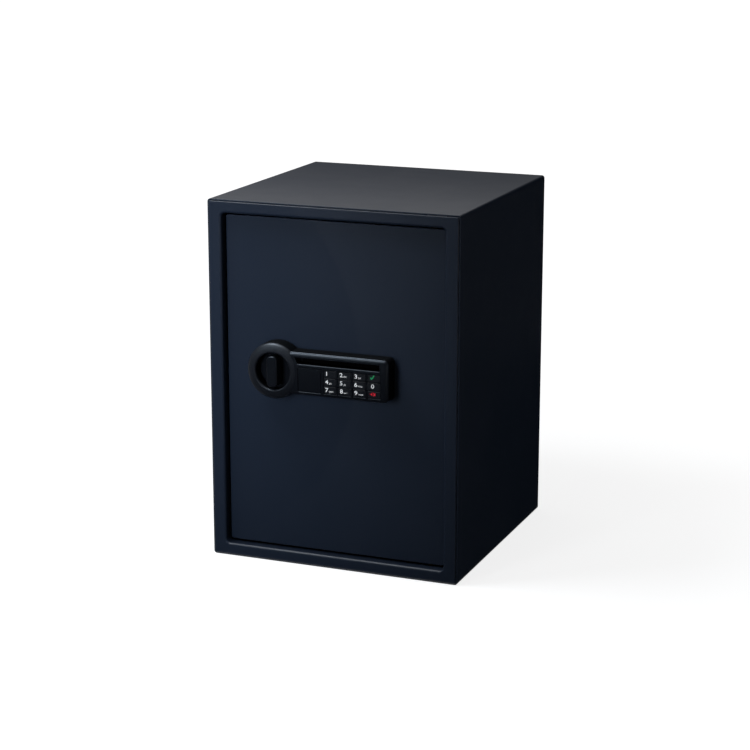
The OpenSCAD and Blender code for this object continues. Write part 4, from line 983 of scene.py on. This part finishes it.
for make_piece in (make_wrap, make_front_frame, make_rear_panel, make_door_plate, make_door_pan,
                   make_inner_cover, make_cover_screws, make_panel_bar, make_slot_shade, make_panel_ring,
                   make_cover_plate, make_knob, make_keys, make_emergency_lock, make_bolts, make_shelf,
                   make_floor_mat, make_battery_box, make_battery_lid, make_batteries, make_reset_button):
    make_piece()


# The studio

def plain_paint(name, grey, roughness, gloss):
    """An even grey finish, and its shader."""
    paint = bpy.data.materials.new(name)
    paint.use_nodes = True
    base = paint.node_tree.nodes["Principled BSDF"]
    base.inputs["Base Color"].default_value = (grey, grey, grey, 1)
    base.inputs["Roughness"].default_value = roughness
    base.inputs["Specular IOR Level"].default_value = gloss
    return paint, base


def make_floor():
    """A wide pale floor. What is seen of it, straight or mirrored, glows whiter away from the safe."""
    bm = bmesh.new()
    bmesh.ops.create_grid(bm, x_segments=1, y_segments=1, size=14.0)
    bmesh.ops.translate(bm, verts=bm.verts, vec=(0, 0, -0.0006))
    floor = rough_piece("floor", bm)
    paint, base = plain_paint("pale_floor", 0.35, 0.9, 0.1)
    base.inputs["Emission Color"].default_value = (1, 1, 1, 1)
    tree = paint.node_tree
    ray = add_node(tree, "ShaderNodeLightPath")
    seen = add_node(tree, "ShaderNodeMath", operation="MAXIMUM")
    seen_too = add_node(tree, "ShaderNodeMath", operation="MAXIMUM")
    where = add_node(tree, "ShaderNodeTexCoord")
    away = add_node(tree, "ShaderNodeVectorMath", operation="LENGTH")
    white = add_node(tree, "ShaderNodeMapRange",
                     {"From Min": 0.45, "From Max": 1.7, "To Min": 0.81, "To Max": 0.985})
    # No glow beneath the safe, which would show through its anchor holes.
    beneath = add_node(tree, "ShaderNodeMapRange", {"From Min": 0.12, "From Max": 0.16})
    bright = add_node(tree, "ShaderNodeMath", operation="MULTIPLY")
    glow = add_node(tree, "ShaderNodeMath", operation="MULTIPLY")
    wire(tree,
         (ray.outputs["Is Camera Ray"], seen.inputs[0]),
         (ray.outputs["Is Glossy Ray"], seen.inputs[1]),
         (seen.outputs[0], seen_too.inputs[0]),
         (ray.outputs["Is Transmission Ray"], seen_too.inputs[1]),
         (where.outputs["Object"], away.inputs[0]),
         (away.outputs["Value"], white.inputs["Value"]),
         (away.outputs["Value"], beneath.inputs["Value"]),
         (white.outputs["Result"], bright.inputs[0]),
         (beneath.outputs["Result"], bright.inputs[1]),
         (bright.outputs[0], glow.inputs[1]),
         (seen_too.outputs[0], glow.inputs[0]),
         (glow.outputs[0], base.inputs["Emission Strength"]))
    floor.data.materials.append(paint)


def make_flag_cloth(name, cover):
    """Black cloth that holds back its cover share of the light."""
    cloth, base = plain_paint(name, 0.002, 1.0, 0.0)
    base.inputs["Alpha"].default_value = cover
    return cloth


def make_flag(name, middle, width, depth, cloth, tip=None):
    """A studio cloth that only reflections see: laid down, or tipped up about its Y or X axis."""
    bm = bmesh.new()
    bmesh.ops.create_grid(bm, x_segments=1, y_segments=1, size=0.5)
    bmesh.ops.scale(bm, vec=(width, depth, 1), verts=bm.verts)
    if tip:
        bmesh.ops.rotate(bm, cent=(0, 0, 0), matrix=Matrix.Rotation(math.radians(90), 3, tip), verts=bm.verts)
    bmesh.ops.translate(bm, verts=bm.verts, vec=middle)
    flag = rough_piece(name, bm)
    flag.data.materials.append(cloth)
    flag.visible_camera = flag.visible_diffuse = flag.visible_shadow = flag.visible_transmission = False


def make_air():
    """White for the camera, a lit wall behind the safe for its gloss, and a dim room elsewhere."""
    world = bpy.data.worlds.new("studio_air")
    scene.world = world
    world.use_nodes = True
    tree = world.node_tree
    tree.nodes.clear()
    out = add_node(tree, "ShaderNodeOutputWorld")
    white = add_node(tree, "ShaderNodeBackground", {"Color": (1, 1, 1, 1), "Strength": 1.0})
    dim = add_node(tree, "ShaderNodeBackground", {"Color": (1, 1, 1, 1)})
    blend = add_node(tree, "ShaderNodeMixShader")
    ray = add_node(tree, "ShaderNodeLightPath")
    where = add_node(tree, "ShaderNodeTexCoord")
    axes = add_node(tree, "ShaderNodeSeparateXYZ")
    behind = add_node(tree, "ShaderNodeMapRange",
                      {"From Min": 0.0, "From Max": 0.6, "To Min": 0.015, "To Max": 0.58})
    mirrored = add_node(tree, "ShaderNodeMath", operation="MAXIMUM")
    bright = add_node(tree, "ShaderNodeMix", {FIRST_NUMBER: 0.04})
    wire(tree,
         (where.outputs["Generated"], axes.inputs[0]),
         (axes.outputs["Y"], behind.inputs["Value"]),
         (ray.outputs["Is Glossy Ray"], mirrored.inputs[0]),
         (ray.outputs["Is Transmission Ray"], mirrored.inputs[1]),
         (mirrored.outputs[0], bright.inputs["Factor"]),
         (behind.outputs["Result"], bright.inputs[SECOND_NUMBER]),
         (bright.outputs[MIXED_NUMBER], dim.inputs["Strength"]),
         (ray.outputs["Is Camera Ray"], blend.inputs[0]),
         (dim.outputs[0], blend.inputs[1]),
         (white.outputs[0], blend.inputs[2]),
         (blend.outputs[0], out.inputs["Surface"]))


def aim(lamp, where, at):
    """Sets a lamp up, turned towards a place, and hides it from the camera."""
    lamp.location = where
    lamp.rotation_mode = "QUATERNION"
    lamp.rotation_quaternion = (Vector(at) - Vector(where)).to_track_quat("-Z", "Y")
    lamp.visible_camera = False
    scene.collection.objects.link(lamp)


def make_soft_box(name, where, at, width, height, power, colour=(1, 1, 1), sheen=True, fill=True, spread=180):
    """A lit rectangle. Without sheen no gloss shows it, and without fill it lights nothing but gloss."""
    data = bpy.data.lights.new(name, "AREA")
    data.shape = "RECTANGLE"
    data.size, data.size_y = width, height
    data.energy = power
    data.color = colour
    data.spread = math.radians(spread)
    lamp = bpy.data.objects.new(name, data)
    lamp.visible_glossy, lamp.visible_diffuse = sheen, fill
    aim(lamp, where, at)


def make_even_light(name, where, strength, spread):
    """Even light over the whole floor, as from a wide white ceiling."""
    data = bpy.data.lights.new(name, "SUN")
    data.energy = strength
    data.angle = math.radians(spread)
    aim(bpy.data.objects.new(name, data), where, (0, 0, 0))


make_floor()
flag_cloth = make_flag_cloth("flag_cloth", 1.0)
flag_gauze = make_flag_cloth("flag_gauze", 0.74)
make_flag("side_flag", (0.24, 0.84, 0.45), 0.9, 2.2, flag_cloth, tip="Y")
make_flag("right_flag", (0.213, 0.50, 0.0004), 0.065, 1.40, flag_cloth)
make_flag("front_flag", (-2.80, -6.087, 0.0004), 8.4, 11.828, flag_cloth)
make_flag("back_flag", (-0.25, 0.235, 0.552), 0.90, 0.120, flag_gauze, tip="X")
make_air()
make_soft_box("key_box", (-0.24, -1.00, 0.42), (-0.25, -0.16, 0.32), 0.30, 0.50, 1.65, (0.93, 0.97, 1.0),
              sheen=False, spread=75)
make_soft_box("brow_box", (-0.62, -1.10, 0.86), (-0.08, -0.18, 0.30), 0.35, 0.45, 1.7, (0.80, 0.90, 1.0),
              fill=False)
make_soft_box("top_box", (-0.60, -0.48, 1.50), (-0.05, -0.15, 0.2), 0.50, 0.45, 12.5, (0.88, 0.94, 1.0))
make_soft_box("right_box", (1.70, 0.15, 0.30), (0.18, 0.0, 0.24), 0.45, 0.45, 3.9, (0.88, 0.94, 1.0))
make_soft_box("back_box", (-0.55, 1.45, 0.85), (0.0, -0.1, 0.5), 1.1, 0.5, 0.4)
make_even_light("ceiling", (-0.3, -0.2, 2.0), 0.7, 60)
